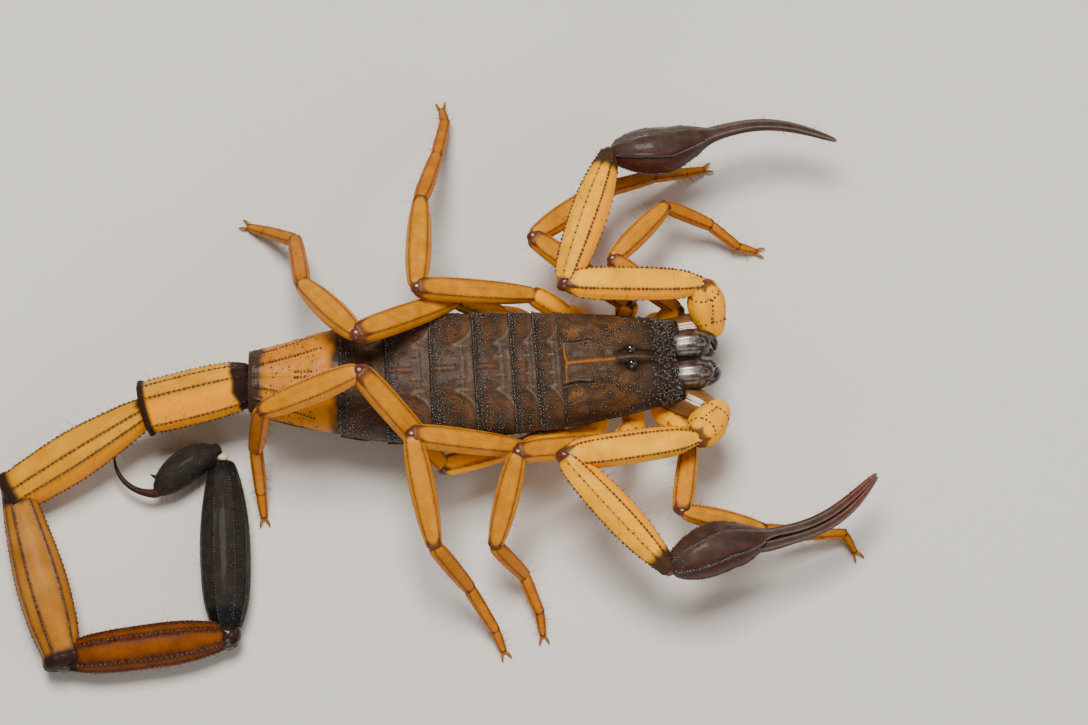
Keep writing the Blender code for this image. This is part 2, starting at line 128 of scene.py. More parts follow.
def curve(table, x):
    """Smooth reading of a table of (place, value) pairs, level beyond its ends."""
    if x <= table[0][0]:
        return table[0][1]
    if x >= table[-1][0]:
        return table[-1][1]
    i = next(k for k in range(1, len(table)) if x <= table[k][0])
    (x0, y0), (x1, y1) = table[i - 1], table[i]
    before, after = table[max(i - 2, 0)], table[min(i + 1, len(table) - 1)]
    slope0 = (y1 - before[1]) / (x1 - before[0]) * (x1 - x0)
    slope1 = (after[1] - y0) / (after[0] - x0) * (x1 - x0)
    t = (x - x0) / (x1 - x0)
    return ((2 * t**3 - 3 * t**2 + 1) * y0 + (t**3 - 2 * t**2 + t) * slope0
            + (3 * t**2 - 2 * t**3) * y1 + (t**3 - t**2) * slope1)


def swell(x, middle, width):
    """Bell curve: 1 at the middle."""
    return math.exp(-(((x - middle) / width) ** 2))


def ease(low, high, x):
    """0 below low, 1 above high, smooth between."""
    t = max(0.0, min(1.0, (x - low) / (high - low)))
    return t * t * (3 - 2 * t)


def window(x, low, high, soft):
    """1 between low and high, fading over soft on either side."""
    return ease(low - soft, low + soft, x) * (1 - ease(high - soft, high + soft, x))


def squircle(angle, power):
    """(across, rise) at an angle from the crown, on a unit outline squarer for a higher power."""
    c, s = math.cos(angle), math.sin(angle)
    return math.copysign(abs(s) ** (2 / power), s), math.copysign(abs(c) ** (2 / power), c)


@functools.cache
def trunk_section(s):
    """Frame of the body s behind the carapace's rear margin: middle, ahead, right, and its four sizes."""
    ahead = heading(CARAPACE_HEADING)
    point, left = TRUNK_START.copy(), s
    if s <= 0:
        point -= ahead * s
    else:
        for length, turn in zip(RING_LENGTHS, RING_HEADINGS):
            ahead = heading(turn)
            step = min(left, length)
            point -= ahead * step
            left -= step
            if left <= 0:
                break
        point -= ahead * max(left, 0)
    ahead = heading(curve(TRUNK_TURN, s))
    sizes = [curve(table, s) for table in (HALF_WIDTH, TOP, EDGE, BELLY)]
    return point, ahead, ahead.cross(UP), *sizes


def body_place(forward, left, height):
    """Point given from the carapace's rear margin, along and across the carapace."""
    ahead = heading(CARAPACE_HEADING)
    return TRUNK_START + ahead * forward + UP.cross(ahead) * left + UP * height


def settle(bm, name, materials, nodes=()):
    """Makes the finished mesh a piece of the body, in metres, standing for its solids."""
    bmesh.ops.transform(bm, matrix=Matrix.Scale(MM, 4), verts=bm.verts)
    mesh = bpy.data.meshes.new(name)
    bm.to_mesh(mesh)
    bm.free()
    mesh.shade_smooth()
    for material in materials:
        mesh.materials.append(material)
    piece = bpy.data.objects.new(name, mesh)
    bpy.context.scene.collection.objects.link(piece)
    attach(piece, "root")
    if nodes:
        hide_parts(*nodes)
    return piece


def bend(skin, across, along, wall=0.0):
    """Grid whose point (u, v) goes to skin(u, v) = place, keel, ink, warm; meeting edges are welded."""
    bm = bmesh.new()
    bmesh.ops.create_grid(bm, x_segments=across, y_segments=along, size=0.5)
    marks = [bm.verts.layers.float.new(mark) for mark in ("keel", "ink", "warm")]
    for vert in bm.verts:
        vert.co, *values = skin(vert.co.x + 0.5, vert.co.y + 0.5)
        for mark, value in zip(marks, values):
            vert[mark] = value
    bmesh.ops.remove_doubles(bm, verts=bm.verts, dist=WELD)
    bm.normal_update()
    if wall:
        bmesh.ops.solidify(bm, geom=bm.faces[:], thickness=wall)
    return bm


def facing(skin, u, v):
    """Outward direction of a skin at (u, v)."""
    step = 0.004
    run = skin(u + step, v)[0] - skin(u - step, v)[0]
    rise = skin(u, v + step)[0] - skin(u, v - step)[0]
    return run.cross(rise).normalized()


def pattern(small):
    """Corners and faces of a small shape, to be copied many times."""
    small.verts.index_update()
    corners = [vert.co.copy() for vert in small.verts]
    faces = [[vert.index for vert in face.verts] for face in small.faces]
    small.free()
    return corners, faces


ball = bmesh.new()
bmesh.ops.create_uvsphere(ball, u_segments=7, v_segments=5, radius=1)
BEAD = pattern(ball)


def copy_in(bm, shape, place, out, size, finish=1):
    """Copy of a small shape, its Z along out, in one of the piece's finishes."""
    turn = out.to_track_quat("Z", "Y").to_matrix()
    corners, faces = shape
    corners = [place + turn @ Vector(a * b for a, b in zip(corner, size)) for corner in corners]
    corners = [bm.verts.new(corner) for corner in corners]
    for face in faces:
        made = bm.faces.new([corners[index] for index in face])
        made.material_index = finish
        made.smooth = True


def stud(bm, place, out, radius, height=0.8, finish=1):
    """Granule: a small dome, half sunk in the plate."""
    copy_in(bm, BEAD, place, out, (radius, radius, radius * height), finish)


def dotted(bm, skin, path, spacing, radius, height=0.8, finish=1):
    """Row of granules on a skin, along a path of (u, v) points, with a little disorder."""
    finer = []
    for (u0, v0), (u1, v1) in zip(path, path[1:]):
        finer += [(u0 + (u1 - u0) * k / 12, v0 + (v1 - v0) * k / 12) for k in range(12)]
    finer.append(path[-1])
    walked, due = 0.0, 0.0
    for (u0, v0), (u1, v1) in zip(finer, finer[1:]):
        length = (skin(u1, v1)[0] - skin(u0, v0)[0]).length
        while walked + length > due:
            part = (due - walked) / length
            u, v = u0 + (u1 - u0) * part, v0 + (v1 - v0) * part
            stud(bm, skin(u, v)[0], facing(skin, u, v), radius * chance.uniform(0.75, 1.2), height, finish)
            due += spacing * chance.uniform(0.8, 1.2)
        walked += length


def scatter(bm, skin, density, tries, spacing, radius, finish=1):
    """Granules strewn over a skin, thinned to density(u, v) and kept apart."""
    taken = set()
    for _ in range(tries):
        u, v = chance.random(), chance.random()
        if chance.random() > density(u, v):
            continue
        place = skin(u, v)[0]
        cell = tuple(round(value / spacing) for value in place)
        if cell in taken:
            continue
        taken.add(cell)
        stud(bm, place, facing(skin, u, v), radius * chance.uniform(0.6, 1.25), 0.8, finish)


def add(tree, kind, settings=(), **links):
    """Shader node with its sockets set or linked, named with _ for each blank, or i and a number."""
    made = tree.nodes.new(kind)
    for name, value in dict(settings).items():
        setattr(made, name, value)
    for name, value in links.items():
        numbered = name[0] == "i" and name[1:].isdigit()
        socket = made.inputs[int(name[1:]) if numbered else name.replace("_", " ")]
        if isinstance(value, bpy.types.NodeSocket):
            tree.links.new(value, socket)
        else:
            socket.default_value = (*value, 1) if isinstance(value, tuple) and len(value) == 3 else value
    return made


def blend_colours(tree, factor, first, second):
    """Colour between two, by a factor."""
    mixed = add(tree, "ShaderNodeMix", {"data_type": "RGBA"}, i0=factor, i6=first, i7=second)
    return mixed.outputs[2]


def new_group(name, inputs, outputs):
    """Shader node group with named sockets: (name, socket type, default)."""
    group = bpy.data.node_groups.new(name, "ShaderNodeTree")
    for sockets, direction in ((inputs, "INPUT"), (outputs, "OUTPUT")):
        for label, kind, *default in sockets:
            socket = group.interface.new_socket(name=label, in_out=direction, socket_type=kind)
            if default:
                socket.default_value = default[0]
    return group, group.nodes.new("NodeGroupInput").outputs, group.nodes.new("NodeGroupOutput").inputs


def scale_for(tree, size):
    """Texture scale that makes marks of a size in millimetres."""
    return add(tree, "ShaderNodeMath", {"operation": "DIVIDE"}, i0=1 / MM, i1=size).outputs[0]


def make_pigment():
    """Colour of cuticle: two tones in clouds, and the three marks laid over them in turn."""
    tone = "NodeSocketColor"
    group, given, result = new_group(
        "pigment",
        [("Low", tone), ("High", tone), ("Warm", tone), ("Keel", tone), ("Ink", tone),
         ("Cloud Size", "NodeSocketFloat", 0.6)],
        [("Color", tone), ("Keel Mask", "NodeSocketFloat")])
    place = group.nodes.new("ShaderNodeTexCoord").outputs["Object"]
    scale = scale_for(group, given["Cloud Size"])
    cloud = add(group, "ShaderNodeTexNoise", Vector=place, Scale=scale, Detail=5.0, Roughness=0.6).outputs[0]
    cloud = add(group, "ShaderNodeMapRange", {}, i0=cloud, i1=0.3, i2=0.7).outputs[0]
    speck = add(group, "ShaderNodeTexNoise", Vector=place, Scale=5.5 / MM, Detail=2.0).outputs[0]
    broken = add(group, "ShaderNodeMapRange", {}, i0=speck, i1=0.3, i2=0.62, i3=0.45, i4=1.0).outputs[0]
    colour = blend_colours(group, cloud, given["Low"], given["High"])
    for mark, tint in (("warm", "Warm"), ("keel", "Keel"), ("ink", "Ink")):
        amount = add(group, "ShaderNodeAttribute", {"attribute_name": mark}).outputs["Fac"]
        if mark != "ink":
            amount = add(group, "ShaderNodeMath", {"operation": "MULTIPLY"}, i0=amount, i1=broken).outputs[0]
        if mark == "keel":
            group.links.new(amount, result["Keel Mask"])
        colour = blend_colours(group, amount, colour, given[tint])
    group.links.new(colour, result["Color"])
    return group


def make_grain():
    """Fine relief of cuticle, from pits and soft lumps, and the broad wear of its gloss."""
    amount = "NodeSocketFloat"
    group, given, result = new_group("grain", [("Size", amount, 0.08), ("Pits", amount, 0.5)],
                                     [("Height", amount), ("Wear", amount)])
    place = group.nodes.new("ShaderNodeTexCoord").outputs["Object"]
    scale = scale_for(group, given["Size"])
    cells = add(group, "ShaderNodeTexVoronoi", {"feature": "F1"}, Vector=place, Scale=scale).outputs[0]
    lumps = add(group, "ShaderNodeTexNoise", Vector=place, Scale=scale, Detail=4.0).outputs[0]
    height = add(group, "ShaderNodeMix", {}, i0=given["Pits"], i2=lumps, i3=cells).outputs[0]
    group.links.new(height, result["Height"])
    broad = add(group, "ShaderNodeTexNoise", Vector=place, Scale=0.9 / MM, Detail=3.0).outputs[0]
    group.links.new(broad, result["Wear"])
    return group


pigment_group, grain_group = make_pigment(), make_grain()


def cuticle(name, low, high, warm, keel, ink, roughness, cloud=0.6, grain=0.08, pits=0.5, relief=0.25,
            coat=0.0, glow=0.0, gloss=0.12):
    """Hard skin: pigment with its marks, a fine relief, and gloss that varies over the plate."""
    material = bpy.data.materials.new(name)
    material.use_nodes = True
    tree = material.node_tree
    shader = tree.nodes["Principled BSDF"]
    pigment = add(tree, "ShaderNodeGroup", {"node_tree": pigment_group}, Low=low, High=high, Warm=warm,
                  Keel=keel, Ink=ink, Cloud_Size=cloud)
    surface = add(tree, "ShaderNodeGroup", {"node_tree": grain_group}, Size=grain, Pits=pits)
    dull = add(tree, "ShaderNodeMapRange", {}, i0=surface.outputs["Wear"], i1=0.3, i2=0.7,
               i3=roughness - 0.09, i4=roughness + 0.09).outputs[0]
    bump = add(tree, "ShaderNodeBump", Strength=0.9, Distance=relief * 0.05 * MM,
               Height=surface.outputs["Height"])
    tree.links.new(pigment.outputs["Color"], shader.inputs["Base Color"])
    tree.links.new(dull, shader.inputs["Roughness"])
    tree.links.new(bump.outputs["Normal"], shader.inputs["Normal"])
    shader.inputs["Specular IOR Level"].default_value = gloss
    shader.inputs["Coat Weight"].default_value = coat
    shader.inputs["Coat Roughness"].default_value = 0.12
    shader.inputs["Subsurface Weight"].default_value = glow
    shader.inputs["Subsurface Radius"].default_value = (1.0, 0.45, 0.12)
    shader.inputs["Subsurface Scale"].default_value = 0.35 * MM
    return material


def granule_finish(name, colour, roughness, coat):
    """Finish of the granules: one colour, mottled up to 1.9 times as light."""
    material = bpy.data.materials.new(name)
    material.use_nodes = True
    tree = material.node_tree
    shader = tree.nodes["Principled BSDF"]
    surface = add(tree, "ShaderNodeGroup", {"node_tree": grain_group}, Size=0.3, Pits=0.2)
    tone = blend_colours(tree, surface.outputs["Height"], colour, tuple(1.9 * value for value in colour))
    tree.links.new(tone, shader.inputs["Base Color"])
    shader.inputs["Roughness"].default_value = roughness
    shader.inputs["Coat Weight"].default_value = coat
    return material


# The shell's keel tint is a pale grey; along the side keels it is a painted highlight.
shell = cuticle("dark_shell", (0.026, 0.015, 0.009), (0.072, 0.036, 0.016), (0.34, 0.115, 0.012),
                (0.17, 0.125, 0.09), (0.005, 0.004, 0.004), 0.5, cloud=0.7, grain=0.13, pits=0.7,
                relief=1.2, coat=0.03)
shell_granule = granule_finish("shell_granule", (0.007, 0.006, 0.006), 0.22, 1.0)
# Lighter granules that stand for silver glints: a painted highlight, on the shield's front and ridges, the
# plates and one keel of each hand.
painted_glint_granule = granule_finish("painted_glint_granule", (0.03, 0.026, 0.023), 0.34, 0.5)


def carapace_lines(forward, off):
    """Where the crosswise furrow near the rear margin and the lengthwise side keel run."""
    return CREASE + CREASE_BOW * swell(off, 0, 0.35), SIDE_KEEL - 0.1 * swell(forward, 1.0, 0.6)


def carapace_relief(forward, off):
    """Height over the smooth shield, forward of its rear margin and off its middle line."""
    crease, side_keel = carapace_lines(forward, off)
    between_eyes = window(forward, 3.7, 6.4, 0.5)
    lift = -0.13 * swell(off, 0, 0.12) * window(forward, 0.45, 3.5, 0.2)
    lift -= 0.11 * swell(forward, crease, 0.1) * (1 - ease(1.1, 1.35, off))
    lift += 0.05 * swell(forward, 0.1, 0.09)
    lift += 0.11 * swell(off, side_keel, 0.09) * window(forward, 0.15, 1.95, 0.2)
    lift -= 0.16 * swell(off, 1.75, 0.42) * swell(forward, 1.0, 0.75)
    lift -= 0.09 * swell(off, 1.25 + 0.8 * (forward - 2.6), 0.22) * window(forward, 2.5, 3.6, 0.25)
    lift += 0.42 * swell(forward, EYE_FORWARD, 0.85) * swell(off, 0, 0.62)
    lift += 0.14 * swell(off, 0.3 + 0.03 * (forward - 4), 0.1) * window(forward, 3.6, 6.3, 0.4)
    lift -= 0.12 * swell(off, 0, 0.11) * between_eyes
    lift += 0.07 * swell(forward, 6.0, 0.6) * swell(off, 0.95, 0.5)
    lift += 0.05 * swell(off, 2.95, 0.12) * window(forward, 0.3, 4.0, 0.5)
    return lift


def carapace_place(u, v):
    """Forward of the rear margin, and the parts of the half width and of the height reached there."""
    across, rise = squircle((2 * u - 1) * PLATE_LEAN, PLATE_SQUARENESS)
    front_notch = 0.40 * swell(across, 0, 0.62) + 0.10 * abs(across) ** 10
    rear_round = 0.12 * abs(across) ** 12
    forward = 0.05 + rear_round + v * (CARAPACE_LENGTH - front_notch - rear_round)
    return forward, across, rise


def carapace_skin(u, v):
    """Skin of the shield, with its pale marbling, red furrows and black front, and a painted highlight and
    painted shadow along each side keel.
    """
    forward, across, rise = carapace_place(u, v)
    point, _, right, half, top, edge, _ = trunk_section(-forward)
    off = half * abs(across)
    lumps = noise.noise(Vector((forward * 1.6, across * half * 1.6, 3)))
    out = (right * across / half + UP * max(rise, 0) / (top - edge)).normalized()
    rim = 0.06 * swell(rise, 0.05, 0.1)
    height = edge + (top - edge) * rise if rise > 0 else edge + 1.4 * rise
    place = point + right * half * across + UP * height
    relief = carapace_relief(forward, off) * max(rise, 0) ** 0.3 + 0.05 * lumps * ease(0, 0.3, rise) + rim
    place += out * relief
    broad = noise.noise(Vector((forward * 0.8 - off * 1.1, off * 2.2 + forward, 7))) + 0.2
    vein = abs(noise.noise(Vector((forward * 1.3 - off * 1.6, off * 1.5 + forward * 0.9, 9))))
    streaks = 0.55 * broad + 0.5 * (1 - ease(0.0, 0.09, vein)) * ease(-0.2, 0.3, broad)
    crease, side_keel = carapace_lines(forward, off)
    furrow = 0.9 * swell(off, 0, 0.1) * window(forward, 0.45, 3.4, 0.15)
    furrow += 0.9 * swell(forward, crease, 0.08) * (1 - ease(1.1, 1.3, off))
    marble = max(0, streaks) * (0.55 * swell(off, 2.1, 0.8) * window(forward, 0.3, 4.6, 0.5)
                                + 0.6 * swell(off, 1.8, 0.4) * swell(forward, 1.0, 0.8)
                                + 0.35 * swell(off, 0.9, 0.6) * window(forward, 1.6, 5.2, 0.6))
    # Painted highlight: a pale line along the side keel.
    keel = 0.5 * swell(off, side_keel, 0.05) * window(forward, 0.15, 1.95, 0.2)
    keel += 0.55 * swell(rise, 0.15, 0.03) + 0.5 * swell(off, 0.02, 0.05) * window(forward, 3.6, 6.0, 0.3)
    ink = max(0.7 * window(rise, -0.3, 0.1, 0.03), 0.62 * ease(4.6, 6.2, forward))
    # Painted shadow: a dark line just outside the side keel, where the ridge's shade falls.
    beside = 1.36 - 0.1 * swell(forward, 1.0, 0.6)
    ink = max(ink, 0.9 * swell(off, beside, 0.06) * window(forward, 0.15, 1.95, 0.2))
    ink = max(ink, swell(forward, EYE_FORWARD - 0.05, 0.75) * swell(off, 0.42, 0.3))
    ink = max(ink, 0.95 * swell(off, 0.33, 0.11) * window(forward, 3.4, 6.2, 0.4))
    return place, min(1, keel), min(1, ink * 1.1), min(1, furrow + marble)


def carapace_crowding(u, v):
    """How densely the granules stand."""
    forward, across, rise = carapace_place(u, v)
    off = abs(across) * trunk_section(-forward)[3]
    if forward > 7.2 or rise < 0.05 or (off < 0.5 and 3.4 < forward < 5.0):
        return 0
    thick = 0.8 * swell(forward, 2.6, 0.9) * swell(off, 1.05, 0.45) + 0.5 * swell(forward, 0.12, 0.1)
    thick += 0.35 * swell(off, 1.5 + 0.2 * forward - 0.4, 0.35) * window(forward, 2.4, 5.6, 0.4)
    return min(1, thick + 0.05 * ease(0.4, 0.8, off))


def carapace_front_crowding(u, v):
    """The finer granules that cover the front of the shield."""
    forward, across, rise = carapace_place(u, v)
    off = abs(across) * trunk_section(-forward)[3]
    if forward > 7.2 or rise < 0.05:
        return 0
    return ease(5.5, 6.4, forward + 0.3 * swell(off, 0.9, 0.7))


bm = bend(carapace_skin, 168, 132, CARAPACE_WALL)
scatter(bm, carapace_skin, carapace_crowding, 4200, 0.17, 0.078)
# The front granules all take the lighter finish with its painted glint.
scatter(bm, carapace_skin, carapace_front_crowding, 3600, 0.14, 0.072, 2)
# The rows on the rear ridges take the lighter finish with its painted glint.
for side in (-1, 1):
    ridge = [(0.5 + side * 0.5 * lean, v) for lean, v in ((0.22, 0.02), (0.205, 0.12), (0.225, 0.27))]
    dotted(bm, carapace_skin, ridge, 0.15, 0.065, 0.9, 2)
settle(bm, "carapace", (shell, shell_granule, painted_glint_granule), ["carapace"])

# ----------------------------------------------------------------------------------------------- eyes
# Two glassy median eyes on the mound, and three small side eyes at each front corner of the shield.
# They are black beads with a clear wet coat.
SIDE_EYES = (  # forward, part of the half width, radius
    (6.42, 0.8, 0.15), (6.12, 0.87, 0.14), (5.85, 0.93, 0.11),
)

eye_black = bpy.data.materials.new("eye_black")
eye_black.use_nodes = True
tree = eye_black.node_tree
veil = add(tree, "ShaderNodeTexNoise", Vector=tree.nodes.new("ShaderNodeTexCoord").outputs["Object"],
           Scale=1.5 / MM)
eye_tone = blend_colours(tree, veil.outputs[0], (0.002, 0.002, 0.003), (0.012, 0.008, 0.006))
tree.links.new(eye_tone, tree.nodes["Principled BSDF"].inputs["Base Color"])
tree.nodes["Principled BSDF"].inputs["Roughness"].default_value = 0.08
tree.nodes["Principled BSDF"].inputs["Coat Weight"].default_value = 1.0
tree.nodes["Principled BSDF"].inputs["Coat Roughness"].default_value = 0.03

for name, side in (("left", 1), ("right", -1)):
    bm = bmesh.new()
    eye_place = body_place(EYE_FORWARD, side * EYE_SPREAD, EYE_HEIGHT)
    bmesh.ops.create_uvsphere(bm, u_segments=28, v_segments=18, radius=EYE_RADIUS,
                              matrix=Matrix.Translation(eye_place))
    settle(bm, f"eye_{name}", (eye_black,), [f"eye_{name}"])
    bm = bmesh.new()
    for forward, across, radius in SIDE_EYES:
        point, _, right, half, top, edge, _ = trunk_section(-forward)
        rise = (1 - across ** PLATE_SQUARENESS) ** (1 / PLATE_SQUARENESS)
        place = point - right * side * half * across + UP * (edge + (top - edge) * rise)
        bmesh.ops.create_uvsphere(bm, u_segments=14, v_segments=10, radius=radius,
                                  matrix=Matrix.Translation(place))
    settle(bm, f"side_eyes_{name}", (eye_black,))

# ------------------------------------------------------------------------------------------ chelicerae
# The short jaws in front of the shield: a glossy barrel each, then a fixed and a movable finger that
# hook down with dark teeth. They are lofted along rails, the way every limb below is.
CHELICERA_RAIL = ((6.6, 0.9, 4.6), (7.6, 0.95, 4.75), (8.5, 0.95, 4.7), (9.25, 0.9, 4.5))
CHELICERA_GIRTH = ((0, 0.5, 0.55), (0.12, 0.74, 0.76), (0.4, 0.86, 0.88), (0.75, 0.84, 0.86),
                   (0.92, 0.68, 0.7), (1, 0.5, 0.5))
JAW_FINGERS = (  # movable then fixed: rail as (forward, off the middle, height), then girth
    (((8.5, 1.42, 4.75), (9.15, 1.36, 4.75), (9.55, 1.0, 4.5), (9.6, 0.55, 4.2)),
     ((0, 0.34, 0.42), (0.35, 0.34, 0.38), (0.7, 0.25, 0.27), (1, 0.1, 0.1))),
    (((8.5, 0.5, 4.6), (9.1, 0.4, 4.5), (9.45, 0.34, 4.2), (9.5, 0.34, 3.9)),
     ((0, 0.3, 0.36), (0.4, 0.28, 0.32), (0.75, 0.2, 0.22), (1, 0.09, 0.09))),
)
JAW_TEETH, JAW_TOOTH = (0.45, 0.6, 0.75), (0.1, 0.08, 0.17)  # places along the biting edge, and size


def rail(points, roll=0.0):
    """Frame along a smooth line through points: at(t) gives the place, the right and the top."""
    knots = [0.0]
    for a, b in zip(points, points[1:]):
        knots.append(knots[-1] + (b - a).length)
    tables = [[(knot / knots[-1], point[axis]) for knot, point in zip(knots, points)] for axis in range(3)]

    def place(t):
        return Vector([curve(table, t) for table in tables])

    @functools.cache
    def at(t):
        along = (place(min(1, t + 0.01)) - place(max(0, t - 0.01))).normalized()
        right = along.cross(UP).normalized()
        lean = Matrix.Rotation(math.radians(roll), 3, along)
        return place(t), lean @ right, lean @ right.cross(along)

    return at


def faceted(corners, bulge):
    """Section of a keeled segment, clockwise from corners (across, rise, keel strength)."""
    def section(u):
        place = (u % 1) * len(corners)
        i = int(place)
        f = place - i - 0.11 * math.sin(2 * math.pi * (place - i))  # columns crowd at the keels
        (x0, y0, k0), (x1, y1, k1) = corners[i], corners[(i + 1) % len(corners)]
        dome = 4 * bulge * f * (1 - f)
        near = min(f, 1 - f) * math.hypot(x1 - x0, y1 - y0)
        across = x0 + (x1 - x0) * f - (y1 - y0) * dome
        rise = y0 + (y1 - y0) * f + (x1 - x0) * dome
        return across, rise, near, (k0, k1)[f > 0.5]
    return section


ROUND = faceted([(math.sin(k * math.pi / 4), math.cos(k * math.pi / 4), 0) for k in range(8)], 0.2)


def segment(at, girth, section, crest=0.0, line=0.1, close=0.05, ink=0.0, warm=0.0):
    """Skin of a segment on a rail; girth holds (part of the length, half width, half depth).

    Ink and warm are values, or functions of the place on the segment.
    """
    wide, deep = [row[:2] for row in girth], [(row[0], row[2]) for row in girth]

    def skin(u, v):
        t = (1 - math.cos(math.pi * v)) / 2
        place, right, top = at(t)
        width, depth = curve(wide, t), curve(deep, t)
        across, rise, near, keel = section(u)
        end = 1 - min(t, 1 - t, close) / close
        shut = (1 - end ** 2.5) ** 0.4
        arm = right * across * width + top * rise * depth
        ridge = crest * keel * swell(near * width, 0, 0.08) * shut
        place = place + arm * shut + arm.normalized() * ridge
        dark = ink(t, across, rise, near * width) if callable(ink) else ink
        red = warm(t, across, rise) if callable(warm) else warm
        return place, min(1, keel * swell(near * width, 0, line)), dark, red

    return skin


def station(t):
    """The v of a segment's skin at a part of its length."""
    return math.acos(1 - 2 * t) / math.pi


def merge(bm, other):
    """Moves another bmesh into this one."""
    mesh = bpy.data.meshes.new("passing")
    other.to_mesh(mesh)
    other.free()
    bm.from_mesh(mesh)
    bpy.data.meshes.remove(mesh)


claw_brown = cuticle("claw_cuticle", (0.025, 0.0125, 0.0085), (0.068, 0.037, 0.026), (0.17, 0.013, 0.003),
                     (0.15, 0.115, 0.10), (0.003, 0.0025, 0.0025), 0.45, cloud=0.8, grain=0.07, pits=0.5,
                     relief=0.6, coat=0.08)
claw_granule = granule_finish("claw_granule", (0.006, 0.005, 0.005), 0.22, 1.0)
# The jaws' warm tint is a pale silver grey: it paints the highlight on the barrels and their pale spots.
jaw_brown = cuticle("jaw_cuticle", (0.014, 0.007, 0.006), (0.036, 0.017, 0.012), (0.24, 0.19, 0.155),
                    (0.1, 0.02, 0.01), (0.008, 0.003, 0.003), 0.36, cloud=0.35, grain=0.12, pits=0.2,
                    relief=0.1, coat=0.7, gloss=0.6)


def jaw_highlight_and_mottle(t, across, rise):
    """Painted highlight: a pale silver patch over the near half of the barrel, and the jaw's real pale spots
    beyond it.
    """
    spots = noise.noise(Vector((across * 4, rise * 4, t * 17)))
    # Painted highlight: pale tint over the upper near half of the barrel, standing for the light's
    # reflection.
    painted_highlight = 0.9 * (1 - ease(0.42, 0.5, t)) * swell(across, 0.05, 0.5) * ease(0.2, 0.6, rise)
    return max(painted_highlight, 0.75 * ease(0.5, 0.56, t) * ease(0.08, 0.3, spots))


for name, side in (("left", 1), ("right", -1)):
    barrel = rail([body_place(forward, side * off, height) for forward, off, height in CHELICERA_RAIL])
    bm = bend(segment(barrel, CHELICERA_GIRTH, ROUND, close=0.1, warm=jaw_highlight_and_mottle,
                      ink=lambda t, across, rise, near: 0.7 * ease(0.6, 0.95, t)), 48, 44)
    for line, girth in JAW_FINGERS:
        hook = rail([body_place(forward, side * off, height) for forward, off, height in line])
        skin = segment(hook, girth, ROUND, close=0.1, ink=0.6)
        merge(bm, bend(skin, 24, 26))
        for t in JAW_TEETH:
            place, _, top = hook(t)
            depth = curve([row[::2] for row in girth], t)
            copy_in(bm, BEAD, place - top * depth, -top, JAW_TOOTH, 0)
    settle(bm, f"chelicera_{name}", (jaw_brown, claw_granule), [f"chelicera_{name}"])

mouth = rail([body_place(5.6, 0, 3.7), body_place(7.4, 0, 3.9), body_place(8.8, 0, 4.0)])
skin = segment(mouth, ((0, 0.9, 0.5), (0.6, 0.8, 0.45), (1, 0.4, 0.3)), ROUND, close=0.1,
               warm=0.9)
settle(bend(skin, 32, 30), "mouth_lip", (jaw_brown,))

# ------------------------------------------------------------------------------------ skin of the trunk
# Soft folded skin that joins the back plates to the belly plates, yellowish in front and brown behind.
# It is one tube inside the plates, creased crosswise, and shows only in the gaps at the flanks.
TRUNK_SKIN_START, TRUNK_SKIN_LENGTH, TRUNK_SKIN_INSET = -6.5, 25.0, 0.9

membrane = cuticle("joint_membrane", (0.075, 0.018, 0.014), (0.20, 0.062, 0.03), (0.040, 0.007, 0.010),
                   (0.12, 0.05, 0.03), (0.018, 0.009, 0.007), 0.32, cloud=0.35, grain=0.14, pits=0.1,
                   relief=0.4, coat=0.4)
flank_skin = cuticle("flank_skin", (0.17, 0.062, 0.022), (0.30, 0.135, 0.055), (0.3, 0.1, 0.02),
                     (0.12, 0.05, 0.03), (0.045, 0.022, 0.013), 0.38, cloud=0.5, grain=0.14, pits=0.1,
                     relief=0.5, coat=0.15)


def trunk_skin(u, v):
    s = TRUNK_SKIN_START + TRUNK_SKIN_LENGTH * v
    point, _, right, half, top, edge, belly = trunk_section(s)
    across, rise = squircle((2 * u - 1) * math.pi, 2.2)
    shut = (1 - (1 - min(v, 1 - v, 0.02) / 0.02) ** 2.5) ** 0.4 * TRUNK_SKIN_INSET
    low = belly if s > 0 else 3.0
    fold = 0.05 * math.sin(s * 14 + 2 * math.sin(u * 40)) * window(abs(rise), -1, 0.7, 0.1)
    height = edge + (top - edge if rise > 0 else edge - low) * rise * shut
    bulge = 0.1 * swell(rise, -0.45, 0.3) * window(v, 0.06, 0.8, 0.06)
    return point + right * (half * (shut + bulge) + fold) * across + UP * height, 0, ease(5, 10, s), 0


settle(bend(trunk_skin, 72, 180), "trunk_skin", (flank_skin,))

# ----------------------------------------------------------------------------------------- back plates
# Seven overlapping plates: each slips under the one before with a smooth grey band, and behind that
# it is granular, with a middle keel, two comma ridges lit by a painted highlight and hollow brown flanks.
# The last is amber.
PLATE_TUCK, PLATE_WALL = 0.28, 0.07
REAR_ROWS = ((0.965, 0.078), (0.83, 0.062), (0.72, 0.05))  # part of the plate's length, granule size
LAST_ROWS = (  # rows of the last plate, from (off the middle, part of the length) to the same again
    ((0.17, 0.3), (0.17, 0.5)),
    ((1.64, 0.2), (0.64, 0.93)),
    ((2.6, 0.27), (1.35, 0.92)),
)

amber = cuticle("amber_cuticle", (0.64, 0.270, 0.003), (0.95, 0.45, 0.009), (0.98, 0.36, 0.001),
                (0.17, 0.03, 0.003), (0.023, 0.012, 0.013), 0.5, cloud=1.3, grain=0.11, pits=0.3,
                relief=0.22, coat=0.02, glow=0.2, gloss=0.07)
leg_amber = cuticle("leg_amber", (0.42, 0.150, 0.003), (0.60, 0.245, 0.010), (0.85, 0.28, 0.001),
                    (0.17, 0.04, 0.004), (0.055, 0.010, 0.010), 0.5, cloud=0.9, grain=0.1, pits=0.35,
                    relief=0.25, coat=0.04, glow=0.2)
amber_granule = granule_finish("amber_granule", (0.030, 0.005, 0.003), 0.35, 0.3)
lilac = granule_finish("lilac_skin", (0.16, 0.12, 0.12), 0.3, 0.5)


